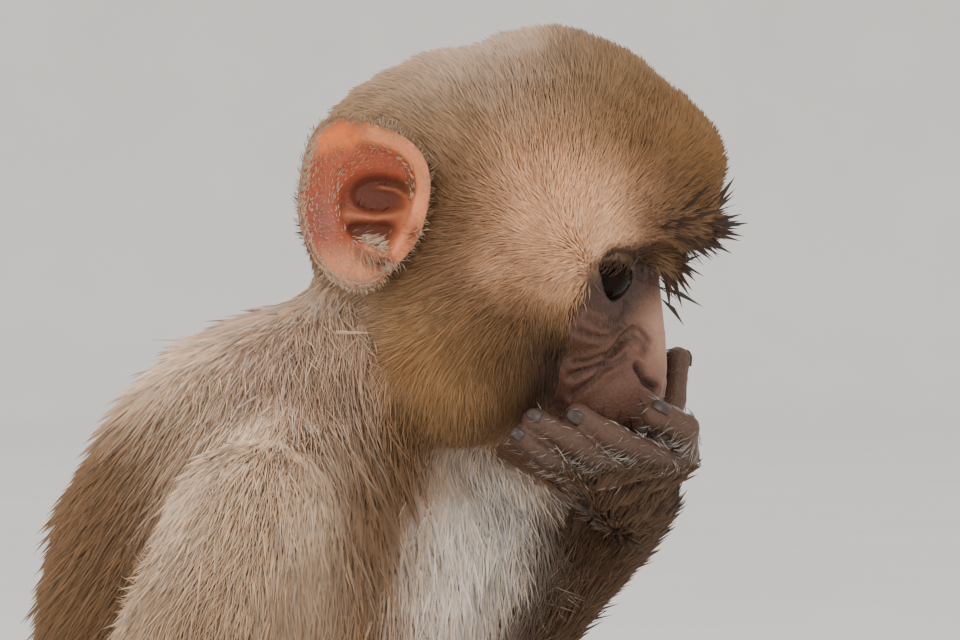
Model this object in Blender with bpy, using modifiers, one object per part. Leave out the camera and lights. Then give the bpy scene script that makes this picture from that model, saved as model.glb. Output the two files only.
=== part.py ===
"""A young macaque, life size, sitting on the floor and eating from its left hand.

The animal faces +X and its left side is +Y. The origin is the middle of the flat that it sits on.
Every solid reaches out to the tips of the coat where it is furred, and to the skin where it is bare.
Sizes are in millimetres in the tables and are made metres by MM.
"""

import math

import bmesh
import bpy
from mathutils import Matrix, Vector

MM = 0.001
GAP = 0.5 * MM  # the thin cut between two neighbouring solids
SEAM_WELDS = (0.8 * MM, 0.5 * MM, 0.25 * MM)  # corners of a cut that lie closer than this become one
RIGHT, LEFT = -1, 1

# The head's own frame: origin midway between the ear canals, x forward, y to its left, z up.
HEAD_AT = Vector((58, 8, 231.4)) * MM
HEAD_PITCH = math.radians(20)  # nose down
HEAD_YAW = math.radians(-15)  # nose to its right

EYE_AT = (45, 12.5, 9)
EYE_RADIUS = 8.8

EAR_HINGE = (1.0, 35.0, 0.0)  # the ear canal, at the side of the head
EAR_MIDDLE = (7.6, 8.8)  # the pinna's middle, behind and above the canal
EAR_HALF_WIDTH, EAR_HALF_HEIGHT = 17.0, 20.2
EAR_WALL = 2.0
EAR_SPREAD = math.radians(38)  # how far the pinna stands out from the side of the head
EAR_BOWL = ((4.5, 6.0, 3.0), (11.0, 12.0, 9.0))  # the hollow in front of the ear canal
EAR_RINGS = [  # share of the way to the rim, and how far the pinna stands up there
    (0.30, -5.0), (0.58, -3.0), (0.80, -1.0), (0.96, 0.4), (1.0, 2.0), (0.93, 3.2),
]

HEAD = {  # middle and half sizes of the lumps that make the head, in its own frame
    "braincase": ((8, 0, 11), (41.5, 38, 41)),
    "crown": ((24, 0, 29), (37, 32, 33)),
    "forehead": ((37, 0, 34), (29.5, 28, 23.5)),
    "brow": ((54, 0, 27.5), (15.5, 21, 9.5)),
    "face": ((37, 0, 3), (18.5, 26, 20)),
    "throat": ((16, 0, -14), (30, 27, 24)),
    "upper_jaw": ((38, 0, -14), (24, 21, 17)),
    "muzzle": ((50.5, 0, -19), (18, 16.5, 13.5)),
}
HEAD_SIDES = {  # the lumps that come in pairs
    "cheek": ((21, 21, -17), (25, 18.5, 27.5)),
    "cheekbone": ((42, 17, -4), (12, 10, 9)),
    "temple": ((35, 20, 14), (13, 12, 15)),
}
NOSE = [((53, 0, 9), 5.0), ((58.5, 0, -2), 5.0), ((62, 0, -11), 5.6)]
JAW = {
    "chin": ((48, 0, -33), (16, 14, 12)),
    "jowl": ((36, 0, -30), (18, 19, 14)),
}

TRUNK = {
    "ribcage": ((19, 0, 138), (57, 43, 75)),
    "belly": ((14, 0, 92), (52, 45, 62)),
    "pelvis": ((8, 0, 56), (50, 46, 60)),
    "right_shoulder": ((26, -32, 168), (28, 20, 30)),
    "left_shoulder": ((32, 34, 166), (28, 20, 30)),
    "withers": ((15, 0, 185), (31, 32, 31)),
    "throat_ruff": ((67, 6, 160), (27, 16, 19)),
    "rump": ((-18, 0, 28), (30, 36, 33)),
}
NECK = [((34, 1, 188), 36), ((53, 6, 205), 30)]

ARMS = {  # shoulder, elbow and wrist, with the radius of the coat round each
    RIGHT: [((20, -45, 168), 23), ((-14, -72, 97), 17), ((30, -90, 24), 10.5)],
    LEFT: [((26, 44, 170), 23), ((48, 38, 99), 17), ((102, 3, 162), 13)],
}
LEGS = {  # hip, knee and ankle
    RIGHT: [((2, -30, 50), 37), ((76, -50, 108), 20), ((98, -47, 22), 12)],
    LEFT: [((2, 30, 50), 37), ((74, 62, 108), 20), ((98, 56, 22), 12)],
}

EATING_HAND = {  # joints from the knuckle to the tip, each with its radius
    "thumb": [((113, 8, 172), 6.5), ((117, 10, 183), 5.0), ((118.5, 10.5, 194), 4.6), ((118, 10.5, 202.5), 4.3)],
    "index": [((117, -5, 174), 6), ((118, -17, 184.5), 5.2), ((116, -23, 188.5), 4.6), ((112.5, -24.5, 190), 4.4)],
    "middle": [((115.5, -14, 171.5), 6), ((109, -26, 181), 5), ((101, -29, 186), 4.6), ((94.5, -28.5, 189), 4.3)],
    "ring": [((111, -20, 168), 5.8), ((102, -30, 175.5), 4.9), ((92, -31.5, 183), 4.5), ((85.5, -30.5, 187.5), 4.2)],
    "little": [((105, -24, 165), 5.4), ((96, -30, 171.5), 4.4), ((88, -32, 178.5), 4.0), ((83, -31.5, 182.5), 3.8)],
}
EATING_PALM = [((102, 3, 162), 12), ((110, -5, 168), 10.5), ((107, -15, 166), 9.5), ((112, 3, 171), 8.5)]

RESTING_HAND = {
    "thumb": [((40, -81, 8), 5.8), ((49, -75, 5), 4.4), ((58, -72, 3), 4.0), ((63, -71, 2.8), 3.8)],
    "index": [((56, -83, 7.5), 5.0), ((70, -81, 8), 4.4), ((80, -80.5, 4), 4.0), ((86, -80.5, 2.6), 3.8)],
    "middle": [((58, -90, 8), 5.0), ((73, -89.5, 8.5), 4.4), ((84, -89.5, 4), 4.0), ((91, -89.5, 2.6), 3.8)],
    "ring": [((57, -97, 7.5), 5.0), ((71, -98.5, 8), 4.4), ((81, -99, 4), 4.0), ((88, -99.5, 2.6), 3.8)],
    "little": [((53, -103, 6.5), 4.6), ((64, -106.5, 6.5), 4.0), ((73, -108, 3.5), 3.6), ((78, -109, 2.4), 3.4)],
}
RESTING_PALM = [((32, -90, 21), 10), ((40, -88, 9), 9.5), ((43, -96, 8.5), 8.5), ((53, -91, 8), 7.5)]

# The foot, in its own frame: x from the heel to the toes, y towards the big toe, z up.
FOOT_SOLE = [((10, 0, 22), 12), ((3, 0, 9), 10), ((24, 0, 8.5), 9.2), ((42, -1, 7.5), 8.5), ((58, -3, 6.5), 7.5)]
FOOT_TOES = {
    "hallux": [((28, 8, 7), 6.2), ((44, 16, 5), 5.0), ((54, 21, 4), 4.6), ((60, 24, 3), 4.2)],
    "second": [((63, 5, 5.5), 5.0), ((78, 6.5, 6.5), 4.4), ((87, 7, 4), 4.0), ((93, 7, 2.6), 3.8)],
    "third": [((66, -2, 5.5), 5.0), ((82, -2, 7), 4.4), ((92, -2.5, 4), 4.0), ((99, -2.5, 2.6), 3.8)],
    "fourth": [((64, -9, 5.5), 5.0), ((79, -11, 6.5), 4.4), ((89, -12, 4), 4.0), ((96, -12.5, 2.6), 3.8)],
    "fifth": [((59, -15, 5), 4.6), ((72, -19, 5.5), 4.0), ((80, -21.5, 3.5), 3.6), ((85, -23, 2.4), 3.4)],
}
FEET = {  # the heel's place on the floor and the way the foot points, in degrees from +X
    RIGHT: ((86, -45), -6),
    LEFT: ((86, 54), 12),
}

TAIL = [((-28, 0, 30), 17), ((-56, 2, 16), 12.5), ((-84, 8, 9), 10.5), ((-110, 22, 8), 9.5), ((-131, 44, 7), 8.5)]
TAIL_END = [((-131, 44, 7), 8), ((-144, 70, 6), 7.4), ((-146, 96, 5), 6.4), ((-138, 116, 4), 5)]

COLOURS = {  # base colour, roughness and metallic of each finish
    "coat": ((0.30, 0.21, 0.12), 0.85, 0.0),
    "pale_coat": ((0.52, 0.45, 0.37), 0.85, 0.0),
    "bare_skin": ((0.40, 0.23, 0.17), 0.6, 0.0),
    "ear_skin": ((0.62, 0.33, 0.23), 0.6, 0.0),
    "eye": ((0.03, 0.015, 0.01), 0.1, 0.0),
}


def on_head(place):
    """The place in the row's frame, in metres, of a point in the head's own frame."""
    return HEAD_AT + head_turn() @ (Vector(place) * MM)


def head_turn():
    return Matrix.Rotation(HEAD_YAW, 3, "Z") @ Matrix.Rotation(HEAD_PITCH, 3, "Y")


def clear_scene():
    for thing in list(bpy.data.objects):
        bpy.data.objects.remove(thing)
    parts = bpy.data.collections.new("young_macaque")
    bpy.context.scene.collection.children.link(parts)
    return parts


def finish(name):
    colour, roughness, metallic = COLOURS[name]
    material = bpy.data.materials.get(name)
    if material is None:
        material = bpy.data.materials.new(name)
        material.use_nodes = True
        shader = material.node_tree.nodes["Principled BSDF"]
        shader.inputs["Base Color"].default_value = (*colour, 1)
        shader.inputs["Roughness"].default_value = roughness
        shader.inputs["Metallic"].default_value = metallic
    return material


class Clay:
    """Lumps that are pressed together into one smooth closed body."""

    def __init__(self):
        self.form = bmesh.new()

    def lump(self, middle, half_sizes, turn=None):
        """An ellipsoid, its middle in metres and its half sizes in millimetres."""
        made = bmesh.ops.create_uvsphere(self.form, u_segments=24, v_segments=16, radius=1)
        place = Matrix.Translation(middle)
        if turn is not None:
            place = place @ turn.to_4x4()
        place = place @ Matrix.Diagonal((*[size * MM for size in half_sizes], 1))
        bmesh.ops.transform(self.form, matrix=place, verts=made["verts"])

    def chain(self, joints):
        """Balls at the joints and cones between them, each joint a place in metres and a radius in metres."""
        for place, radius in joints:
            self.lump(place, (radius / MM,) * 3)
        for (start, first), (end, last) in zip(joints, joints[1:]):
            along = end - start
            place = Matrix.Translation((start + end) / 2) @ along.to_track_quat("Z", "Y").to_matrix().to_4x4()
            bmesh.ops.create_cone(
                self.form,
                cap_ends=True,
                segments=20,
                radius1=first,
                radius2=last,
                depth=along.length,
                matrix=place,
            )

    def press(self, name, voxel, smoothing, triangles):
        """One closed mesh of about so many triangles, without the creases between the lumps."""
        mesh = bpy.data.meshes.new(name)
        self.form.to_mesh(mesh)
        self.form.free()
        body = bpy.data.objects.new(name, mesh)
        bpy.context.scene.collection.objects.link(body)
        remesh = body.modifiers.new("one_body", "REMESH")
        remesh.mode = "VOXEL"
        remesh.voxel_size = voxel * MM
        smooth = body.modifiers.new("no_creases", "SMOOTH")
        smooth.factor = 0.5
        smooth.iterations = smoothing
        settle(body)
        found = sum(len(face.vertices) - 2 for face in body.data.polygons)
        fewer = body.modifiers.new("fewer_faces", "DECIMATE")
        fewer.ratio = min(1.0, triangles / found)
        fewer.use_collapse_triangulate = True
        settle(body)
        return body


def settle(body):
    """Makes what the modifiers give the object's own mesh."""
    bpy.context.view_layer.update()
    graph = bpy.context.evaluated_depsgraph_get()
    made = bpy.data.meshes.new_from_object(body.evaluated_get(graph))
    body.modifiers.clear()
    body.data = made


def in_metres(joints):
    return [(Vector(place) * MM, radius * MM) for place, radius in joints]


def box_of(body):
    corners = [vertex.co for vertex in body.data.vertices]
    low = Vector([min(corner[axis] for corner in corners) for axis in range(3)])
    high = Vector([max(corner[axis] for corner in corners) for axis in range(3)])
    return low, high


def near(first, second):
    (low_a, high_a), (low_b, high_b) = box_of(first), box_of(second)
    return all(low_a[axis] < high_b[axis] + 2 * GAP and low_b[axis] < high_a[axis] + 2 * GAP for axis in range(3))


def grown(body, by):
    """A copy that is thicker all round, as a cutter that leaves the gap between two solids."""
    form = bmesh.new()
    form.from_mesh(body.data)
    form.normal_update()
    for vertex in form.verts:
        vertex.co += vertex.normal * by
    mesh = bpy.data.meshes.new("cutter")
    form.to_mesh(mesh)
    form.free()
    cutter = bpy.data.objects.new("cutter", mesh)
    bpy.context.scene.collection.objects.link(cutter)
    return cutter


def carve(body, cutter):
    """Takes the cutter's shape out of the body, and removes the cutter."""
    cut = body.modifiers.new("cut", "BOOLEAN")
    cut.operation = "DIFFERENCE"
    cut.object = cutter
    settle(body)
    bpy.data.objects.remove(cutter)
    for distance in SEAM_WELDS:
        form = bmesh.new()
        form.from_mesh(body.data)
        bmesh.ops.triangulate(form, faces=form.faces)
        bmesh.ops.dissolve_degenerate(form, dist=distance, edges=form.edges)
        bmesh.ops.triangulate(form, faces=form.faces)
        whole = is_closed(form)
        if whole:
            form.to_mesh(body.data)
        form.free()
        if whole:
            break


def is_closed(form):
    """Whether every edge lies between two faces, and every corner in one fan of faces."""
    corners = {frozenset(face.verts) for face in form.faces}
    return (
        len(corners) == len(form.faces)
        and all(len(edge.link_faces) == 2 for edge in form.edges)
        and all(vertex.is_manifold for vertex in form.verts)
    )


def keep_largest(body):
    """Drops the crumbs that a cut leaves."""
    form = bmesh.new()
    form.from_mesh(body.data)
    bmesh.ops.triangulate(form, faces=form.faces)
    left, groups = set(form.verts), []
    while left:
        group, edge_of_group = set(), [left.pop()]
        while edge_of_group:
            vertex = edge_of_group.pop()
            group.add(vertex)
            for edge in vertex.link_edges:
                other = edge.other_vert(vertex)
                if other in left:
                    left.discard(other)
                    edge_of_group.append(other)
        groups.append(group)
    groups.sort(key=len)
    for crumbs in groups[:-1]:
        bmesh.ops.delete(form, geom=list(crumbs), context="VERTS")
    form.to_mesh(body.data)
    form.free()


def stand_on_floor(body):
    """Cuts off what lies under the floor, which leaves small flats at one level."""
    form = bmesh.new()
    form.from_mesh(body.data)
    if min(vertex.co.z for vertex in form.verts) < 0:
        whole = form.verts[:] + form.edges[:] + form.faces[:]
        cut = bmesh.ops.bisect_plane(form, geom=whole, plane_co=(0, 0, 0), plane_no=(0, 0, 1), clear_inner=True)
        rim = [edge for edge in cut["geom_cut"] if isinstance(edge, bmesh.types.BMEdge)]
        bmesh.ops.holes_fill(form, edges=rim, sides=0)
        bmesh.ops.recalc_face_normals(form, faces=form.faces)
    form.to_mesh(body.data)
    form.free()


class Figure:
    """The finished solids, in order: a new one gives way to those that are there already."""

    def __init__(self, parts):
        self.parts = parts
        self.placed = []

    def place(self, body, finish_name, cutters=()):
        for cutter in cutters:
            carve(body, cutter)
        for other in self.placed:
            if near(body, other):
                carve(body, grown(other, GAP))
        stand_on_floor(body)
        keep_largest(body)
        body.data.materials.clear()
        body.data.materials.append(finish(finish_name))
        body.data.shade_smooth()
        for home in body.users_collection:
            home.objects.unlink(body)
        self.parts.objects.link(body)
        self.placed.append(body)


def ball(name, middle, radius, segments=12, rings=8):
    mesh = bpy.data.meshes.new(name)
    form = bmesh.new()
    place = Matrix.Translation(middle)
    bmesh.ops.create_uvsphere(form, u_segments=segments, v_segments=rings, radius=radius, matrix=place)
    form.to_mesh(mesh)
    form.free()
    body = bpy.data.objects.new(name, mesh)
    bpy.context.scene.collection.objects.link(body)
    return body


def mirrored(place, side):
    return (place[0], place[1] * side, place[2])


def make_head():
    clay = Clay()
    for middle, half_sizes in HEAD.values():
        clay.lump(on_head(middle), half_sizes, head_turn())
    for side in (RIGHT, LEFT):
        for middle, half_sizes in HEAD_SIDES.values():
            clay.lump(on_head(mirrored(middle, side)), half_sizes, head_turn())
    clay.chain([(on_head(place), radius * MM) for place, radius in NOSE])
    return clay.press("head", voxel=1.8, smoothing=7, triangles=1250)


def make_jaw():
    clay = Clay()
    for middle, half_sizes in JAW.values():
        clay.lump(on_head(middle), half_sizes, head_turn())
    return clay.press("jaw", voxel=1.5, smoothing=4, triangles=260)


def make_ear(side):
    """A cupped pinna. Its front follows the side of the head and its back stands out from it."""
    form = bmesh.new()
    segments = 18
    rings = []
    centre = form.verts.new(pinna_place(0, 0, EAR_RINGS[0][1] - 1))
    for share, height in EAR_RINGS:
        ring = []
        for step in range(segments):
            angle = math.tau * step / segments
            back, up = pinna_rim(angle)
            ring.append(form.verts.new(pinna_place(back * share, up * share, height)))
        rings.append(ring)
    for step in range(segments):
        form.faces.new((centre, rings[0][step], rings[0][step - 1]))
        for inner, outer in zip(rings, rings[1:]):
            form.faces.new((inner[step - 1], inner[step], outer[step], outer[step - 1]))
    place = Matrix.Translation(on_head(mirrored(EAR_HINGE, side))) @ head_turn().to_4x4()
    if side == RIGHT:
        place = place @ Matrix.Diagonal((1, -1, 1, 1))
    bmesh.ops.transform(form, matrix=place, verts=form.verts)
    name = "ear_left" if side == LEFT else "ear_right"
    mesh = bpy.data.meshes.new(name)
    form.to_mesh(mesh)
    form.free()
    body = bpy.data.objects.new(name, mesh)
    bpy.context.scene.collection.objects.link(body)
    wall = body.modifiers.new("wall", "SOLIDIFY")
    wall.thickness = EAR_WALL * MM
    wall.offset = 0
    settle(body)
    turn_outwards(body)
    return body


def ear_bowl(side):
    """A cutter: the room that the cup of the ear takes in the side of the head."""
    (back, up, height), half_sizes = EAR_BOWL
    clay = Clay()
    clay.lump(Vector((0, 0, 0)), half_sizes)
    lean = Matrix.Rotation(-EAR_SPREAD / 2, 4, "Z")
    middle = pinna_place(back - EAR_MIDDLE[0], up - EAR_MIDDLE[1], height)
    place = Matrix.Translation(on_head(mirrored(EAR_HINGE, side))) @ head_turn().to_4x4()
    if side == RIGHT:
        place = place @ Matrix.Diagonal((1, -1, 1, 1))
    body = clay.press("ear_bowl", voxel=1.5, smoothing=1, triangles=160)
    body.data.transform(place @ Matrix.Translation(middle) @ lean)
    turn_outwards(body)
    return body


def pinna_rim(angle):
    """The rim's outline: a rounded oblong with a blunt corner at its upper back."""
    power = 2.5
    across = abs(math.cos(angle) / EAR_HALF_WIDTH) ** power
    along = abs(math.sin(angle) / EAR_HALF_HEIGHT) ** power
    reach = (across + along) ** (-1 / power) + 1.2 * math.exp(-((angle - 1.1) / 0.3) ** 2)
    return reach * math.cos(angle), reach * math.sin(angle)


def pinna_place(back, up, height):
    """A point of the left pinna in metres, from the ear's hinge along the head's axes."""
    behind = back + EAR_MIDDLE[0]
    above = up + EAR_MIDDLE[1]
    flare = (behind + math.hypot(behind, 6)) / 2  # nothing in front of the hinge, all behind it
    lean = EAR_SPREAD * (1 + behind / math.hypot(behind, 6)) / 2
    along = -(behind - (1 - math.cos(EAR_SPREAD)) * flare)
    out = math.sin(EAR_SPREAD) * flare
    forward = along + height * math.sin(lean)
    aside = out + height * math.cos(lean)
    tilted = Matrix.Rotation(-HEAD_PITCH, 3, "Y") @ Vector((forward, aside + 0.10 * above, above))
    return tilted * MM


def turn_outwards(body):
    form = bmesh.new()
    form.from_mesh(body.data)
    bmesh.ops.recalc_face_normals(form, faces=form.faces)
    form.to_mesh(body.data)
    form.free()


def make_trunk():
    clay = Clay()
    for middle, half_sizes in TRUNK.values():
        clay.lump(Vector(middle) * MM, half_sizes)
    return clay.press("trunk", voxel=3.5, smoothing=6, triangles=620)


def make_neck():
    clay = Clay()
    clay.chain(in_metres(NECK))
    return clay.press("neck", voxel=3.5, smoothing=4, triangles=260)


def make_limb(name, upper, lower, triangles):
    """One length of a limb, from its upper joint to its lower one, thicker where its muscle lies."""
    (start, first), (end, last) = in_metres((upper, lower))
    belly = (start.lerp(end, 0.36), first * 0.62 + last * 0.42)
    clay = Clay()
    clay.chain([(start, first * 0.94), belly, (end, last)])
    return clay.press(name, voxel=2.5, smoothing=5, triangles=triangles)


def make_fingers(name, palm, fingers, triangles):
    clay = Clay()
    clay.chain(palm)
    for joints in fingers.values():
        clay.chain(joints)
    return clay.press(name, voxel=1.0, smoothing=3, triangles=triangles)


def make_hand(name, palm, fingers):
    return make_fingers(name, in_metres(palm), {key: in_metres(joints) for key, joints in fingers.items()}, 600)


def make_foot(name, side):
    (heel_x, heel_y), degrees = FEET[side]
    place = Matrix.Translation(Vector((heel_x, heel_y, 0)) * MM) @ Matrix.Rotation(math.radians(degrees), 4, "Z")

    def put(joints):
        return [(place @ (Vector((x, -side * y, z)) * MM), radius * MM) for (x, y, z), radius in joints]

    return make_fingers(name, put(FOOT_SOLE), {key: put(joints) for key, joints in FOOT_TOES.items()}, 480)


def make_tail(name, joints):
    clay = Clay()
    clay.chain(in_metres(joints))
    return clay.press(name, voxel=2.0, smoothing=4, triangles=130)


def main():
    figure = Figure(clear_scene())
    sides = ((RIGHT, "right"), (LEFT, "left"))
    for side, word in sides:
        figure.place(ball(f"eye_{word}", on_head(mirrored(EYE_AT, side)), EYE_RADIUS * MM), "eye")
    figure.place(make_neck(), "coat")
    figure.place(make_jaw(), "bare_skin")
    figure.place(make_head(), "coat", cutters=[ear_bowl(side) for side, word in sides])
    for side, word in sides:
        figure.place(make_ear(side), "ear_skin")
    for side, word in sides:
        shoulder, elbow, wrist = ARMS[side]
        figure.place(make_limb(f"upper_arm_{word}", shoulder, elbow, 190), "pale_coat")
        figure.place(make_limb(f"forearm_{word}", elbow, wrist, 190), "coat")
        hip, knee, ankle = LEGS[side]
        figure.place(make_limb(f"thigh_{word}", hip, knee, 240), "pale_coat")
        figure.place(make_limb(f"shank_{word}", knee, ankle, 190), "coat")
        figure.place(make_foot(f"foot_{word}", side), "bare_skin")
    figure.place(make_trunk(), "coat")
    figure.place(make_hand("hand_left", EATING_PALM, EATING_HAND), "bare_skin")
    figure.place(make_hand("hand_right", RESTING_PALM, RESTING_HAND), "bare_skin")
    figure.place(make_tail("tail_base", TAIL), "coat")
    figure.place(make_tail("tail_tip", TAIL_END), "coat")


main()
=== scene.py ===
"""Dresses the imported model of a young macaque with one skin, two eyes, nails and a coat of hair.

Places in the tables are in millimetres. Those of the head are in the head's own frame, with x forward,
y to the animal's left and z up, and are given for the left side where a feature comes in pairs.
"""

import math

import bmesh
import bpy
import numpy as np
from mathutils import Matrix, Vector
from mathutils.bvhtree import BVHTree


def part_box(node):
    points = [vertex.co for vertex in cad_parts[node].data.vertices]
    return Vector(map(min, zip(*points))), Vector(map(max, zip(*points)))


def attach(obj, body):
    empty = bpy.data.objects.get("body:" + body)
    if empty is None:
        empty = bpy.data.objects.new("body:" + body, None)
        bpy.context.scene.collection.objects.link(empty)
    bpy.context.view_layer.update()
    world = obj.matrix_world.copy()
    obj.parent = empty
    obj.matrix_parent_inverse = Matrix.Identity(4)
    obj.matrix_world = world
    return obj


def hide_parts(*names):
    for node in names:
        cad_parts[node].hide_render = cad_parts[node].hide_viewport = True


bl_info = {
    "name": "Young Macaque",
    "version": (1, 0, 0),
    "blender": (4, 5, 0),
    "location": "3D View > Sidebar > Macaque",
    "description": "Skin, eyes, nails and coat over the solids of a young macaque",
    "category": "Object",
}

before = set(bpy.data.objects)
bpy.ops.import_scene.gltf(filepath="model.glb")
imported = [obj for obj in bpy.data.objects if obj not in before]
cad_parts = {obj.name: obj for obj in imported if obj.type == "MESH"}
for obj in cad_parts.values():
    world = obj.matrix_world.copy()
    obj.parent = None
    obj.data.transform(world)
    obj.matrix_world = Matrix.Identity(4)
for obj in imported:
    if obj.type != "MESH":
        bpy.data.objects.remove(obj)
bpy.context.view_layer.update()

MM = 0.001
SIDES = {"left": 1, "right": -1}

# ---------------------------------------------------------------- the head's frame

HEAD_PITCH = math.radians(20)
HEAD_YAW = math.radians(-15)
EYE_AT = (45, 12.5, 9)
EYE_RADIUS = 8.8
EAR_HINGE = (1.0, 35.0, 0.0)
EAR_MIDDLE = (7.6, 8.8)
EAR_SPREAD = math.radians(38)
EAR_ROOT = ((-15, 30.5, 4), (6.5, 5.5, 13))  # the middle and radii of the flesh behind the ear
THROAT = ((88, 8, 166), (10, 11, 10))  # the middle and radii of the swelling under the chin, in the body's frame
EAR_DISH = [(0, -6.0), (0.30, -5.0), (0.58, -3.0), (0.80, -1.0), (0.96, 0.4), (1.0, 2.0)]


def node_middle(name):
    low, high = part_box(name)
    return (low + high) / 2


HEAD_TURN = Matrix.Rotation(HEAD_YAW, 3, "Z") @ Matrix.Rotation(HEAD_PITCH, 3, "Y")
BETWEEN_EYES = (node_middle("eye_left") + node_middle("eye_right")) / 2
HEAD_AT = BETWEEN_EYES - HEAD_TURN @ Vector((EYE_AT[0], 0, EYE_AT[2])) * MM
TURN = np.array(HEAD_TURN)
ORIGIN = np.array(HEAD_AT)


def to_head(places):
    """Row places in metres to the head's frame in millimetres."""
    return (places - ORIGIN) @ TURN / MM


def from_head(places):
    return ORIGIN + np.asarray(places, float) * MM @ TURN.T


def paired(head_places):
    """The same places with y always to the outside."""
    return head_places * [1, 0, 1] + np.abs(head_places) * [0, 1, 0]


def to_own_side(rows, head_places):
    """Rows that are given for the left side, mirrored wherever the place that they go with is on the right."""
    signs = np.ones((len(head_places), 3))
    signs[:, 1] = np.where(head_places[:, 1] < 0, -1, 1)
    return rows * signs


# ---------------------------------------------------------------- small tools for numbers


def rise(value, low, high):
    """0 below low, 1 above high, with a smooth step between."""
    share = np.clip((value - low) / (high - low), 0, 1)
    return share * share * (3 - 2 * share)


def near(value, middle, width):
    return np.exp(-(((value - middle) / width) ** 2))


def blob(places, middle, half_sizes):
    """1 at the middle and about a third at the half sizes."""
    return np.exp(-((((places - np.array(middle)) / np.array(half_sizes)) ** 2).sum(1)))


def unit(vectors):
    return vectors / (np.linalg.norm(vectors, axis=1, keepdims=True) + 1e-12)


def along_line(places, line):
    """How far each place is from a bent line, and how far along the line its nearest point is, from 0 to 1."""
    line = np.array(line, float)
    lengths = np.linalg.norm(np.diff(line, axis=0), axis=1)
    starts = np.concatenate([[0], np.cumsum(lengths)])
    best = np.full(len(places), 1e9)
    share = np.zeros(len(places))
    for index, (start, end) in enumerate(zip(line, line[1:])):
        step = end - start
        if not step.any():
            continue
        part = np.clip((places - start) @ step / (step @ step), 0, 1)
        gap = np.linalg.norm(places - start - part[:, None] * step, axis=1)
        closer = gap < best
        best[closer] = gap[closer]
        share[closer] = (starts[index] + part[closer] * lengths[index]) / starts[-1]
    return best, share


def linear(colour):
    """A colour as it is named on a screen, made linear."""
    values = np.array(colour, float) / 255
    return np.where(values < 0.04045, values / 12.92, ((values + 0.055) / 1.055) ** 2.4)


class Web:
    """The corners of a mesh and the edges between them."""

    def __init__(self, mesh):
        self.count = len(mesh.vertices)
        edges = np.zeros(len(mesh.edges) * 2, np.int32)
        mesh.edges.foreach_get("vertices", edges)
        self.first, self.second = edges.reshape(-1, 2).T
        self.both = np.concatenate([self.first, self.second])
        self.degree = np.bincount(self.both, minlength=self.count).clip(1)

    def mean(self, values):
        """The mean of each corner's neighbours."""
        if values.ndim > 1:
            return np.stack([self.mean(column) for column in values.T], axis=1)
        ends = np.concatenate([values[self.second], values[self.first]])
        return np.bincount(self.both, weights=ends, minlength=self.count) / self.degree

    def spread(self, values, rounds):
        for _ in range(rounds):
            values = 0.5 * values + 0.5 * self.mean(values)
        return values

    def melt(self, points, rounds, share):
        """Fills the grooves between rounded forms. share says how much each corner takes part."""
        share = np.clip(self.spread(share, 10), 0, 1)[:, None] * 0.5
        for _ in range(rounds if share.max() > 0.01 else 0):
            points = points + share * (self.mean(points) - points)
        return points

    def relax(self, points, rounds, share):
        """Smooths bumps away and keeps the size. share says how much each corner takes part."""
        share = share[:, None]
        for _ in range(rounds):
            points = points + share * 0.50 * (self.mean(points) - points)
            points = points - share * 0.52 * (self.mean(points) - points)
        return points


def threes(items, key, kind=np.float32):
    """What each item holds under the key, in rows of three."""
    values = np.zeros(len(items) * 3, kind)
    items.foreach_get(key, values)
    return values.reshape(-1, 3)


def mesh_points(mesh):
    return threes(mesh.vertices, "co").astype(float)


def mesh_normals(mesh):
    return threes(mesh.vertex_normals, "vector").astype(float)


def mesh_triangles(mesh):
    mesh.calc_loop_triangles()
    return threes(mesh.loop_triangles, "vertices", np.int32)


def set_points(mesh, points):
    mesh.vertices.foreach_set("co", points.astype(np.float32).ravel())
    mesh.update()


def keep_numbers(mesh, name, values):
    """Stores one number or one colour for each corner of the mesh."""
    if values.ndim == 1:
        mesh.attributes.new(name, "FLOAT", "POINT").data.foreach_set("value", values.astype(np.float32))
    else:
        full = np.concatenate([values, np.ones((len(values), 1))], axis=1).astype(np.float32)
        mesh.attributes.new(name, "FLOAT_COLOR", "POINT").data.foreach_set("color", full.ravel())


def triangle_mesh(name, points, triangles):
    mesh = bpy.data.meshes.new(name)
    mesh.vertices.add(len(points))
    mesh.vertices.foreach_set("co", points.astype(np.float32).ravel())
    mesh.loops.add(len(triangles) * 3)
    mesh.loops.foreach_set("vertex_index", triangles.astype(np.int32).ravel())
    mesh.polygons.add(len(triangles))
    mesh.polygons.foreach_set("loop_start", np.arange(0, len(triangles) * 3, 3, dtype=np.int32))
    mesh.update(calc_edges=True)
    mesh.validate()
    mesh.shade_smooth()
    return mesh


def add_object(name, mesh):
    piece = bpy.data.objects.new(name, mesh)
    bpy.context.scene.collection.objects.link(piece)
    return piece


def finished_mesh(form, name):
    """The faces that were built in a bmesh, as a mesh."""
    mesh = bpy.data.meshes.new(name)
    form.to_mesh(mesh)
    form.free()
    return mesh


def linked_groups(form):
    """The corners of a bmesh in groups that hang together."""
    left = set(form.verts)
    groups = []
    while left:
        group = {left.pop()}
        edge = list(group)
        while edge:
            step = [link.other_vert(corner) for corner in edge for link in corner.link_edges]
            edge = [corner for corner in set(step) if corner in left]
            left.difference_update(edge)
            group.update(edge)
        groups.append(group)
    return groups


def select_only(piece):
    bpy.ops.object.select_all(action="DESELECT")
    piece.select_set(True)
    bpy.context.view_layer.objects.active = piece


def apply_modifier(piece, kind, **settings):
    """Changes a piece's mesh by one modifier."""
    modifier = piece.modifiers.new(kind, kind)
    for setting, value in settings.items():
        setattr(modifier, setting, value)
    select_only(piece)
    bpy.ops.object.modifier_apply(modifier=modifier.name)


def add_piece(name, mesh, material):
    mesh.name = name
    piece = add_object(name, mesh)
    mesh.materials.append(material)
    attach(piece, "root")
    return piece


# ---------------------------------------------------------------- shader nodes


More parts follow.
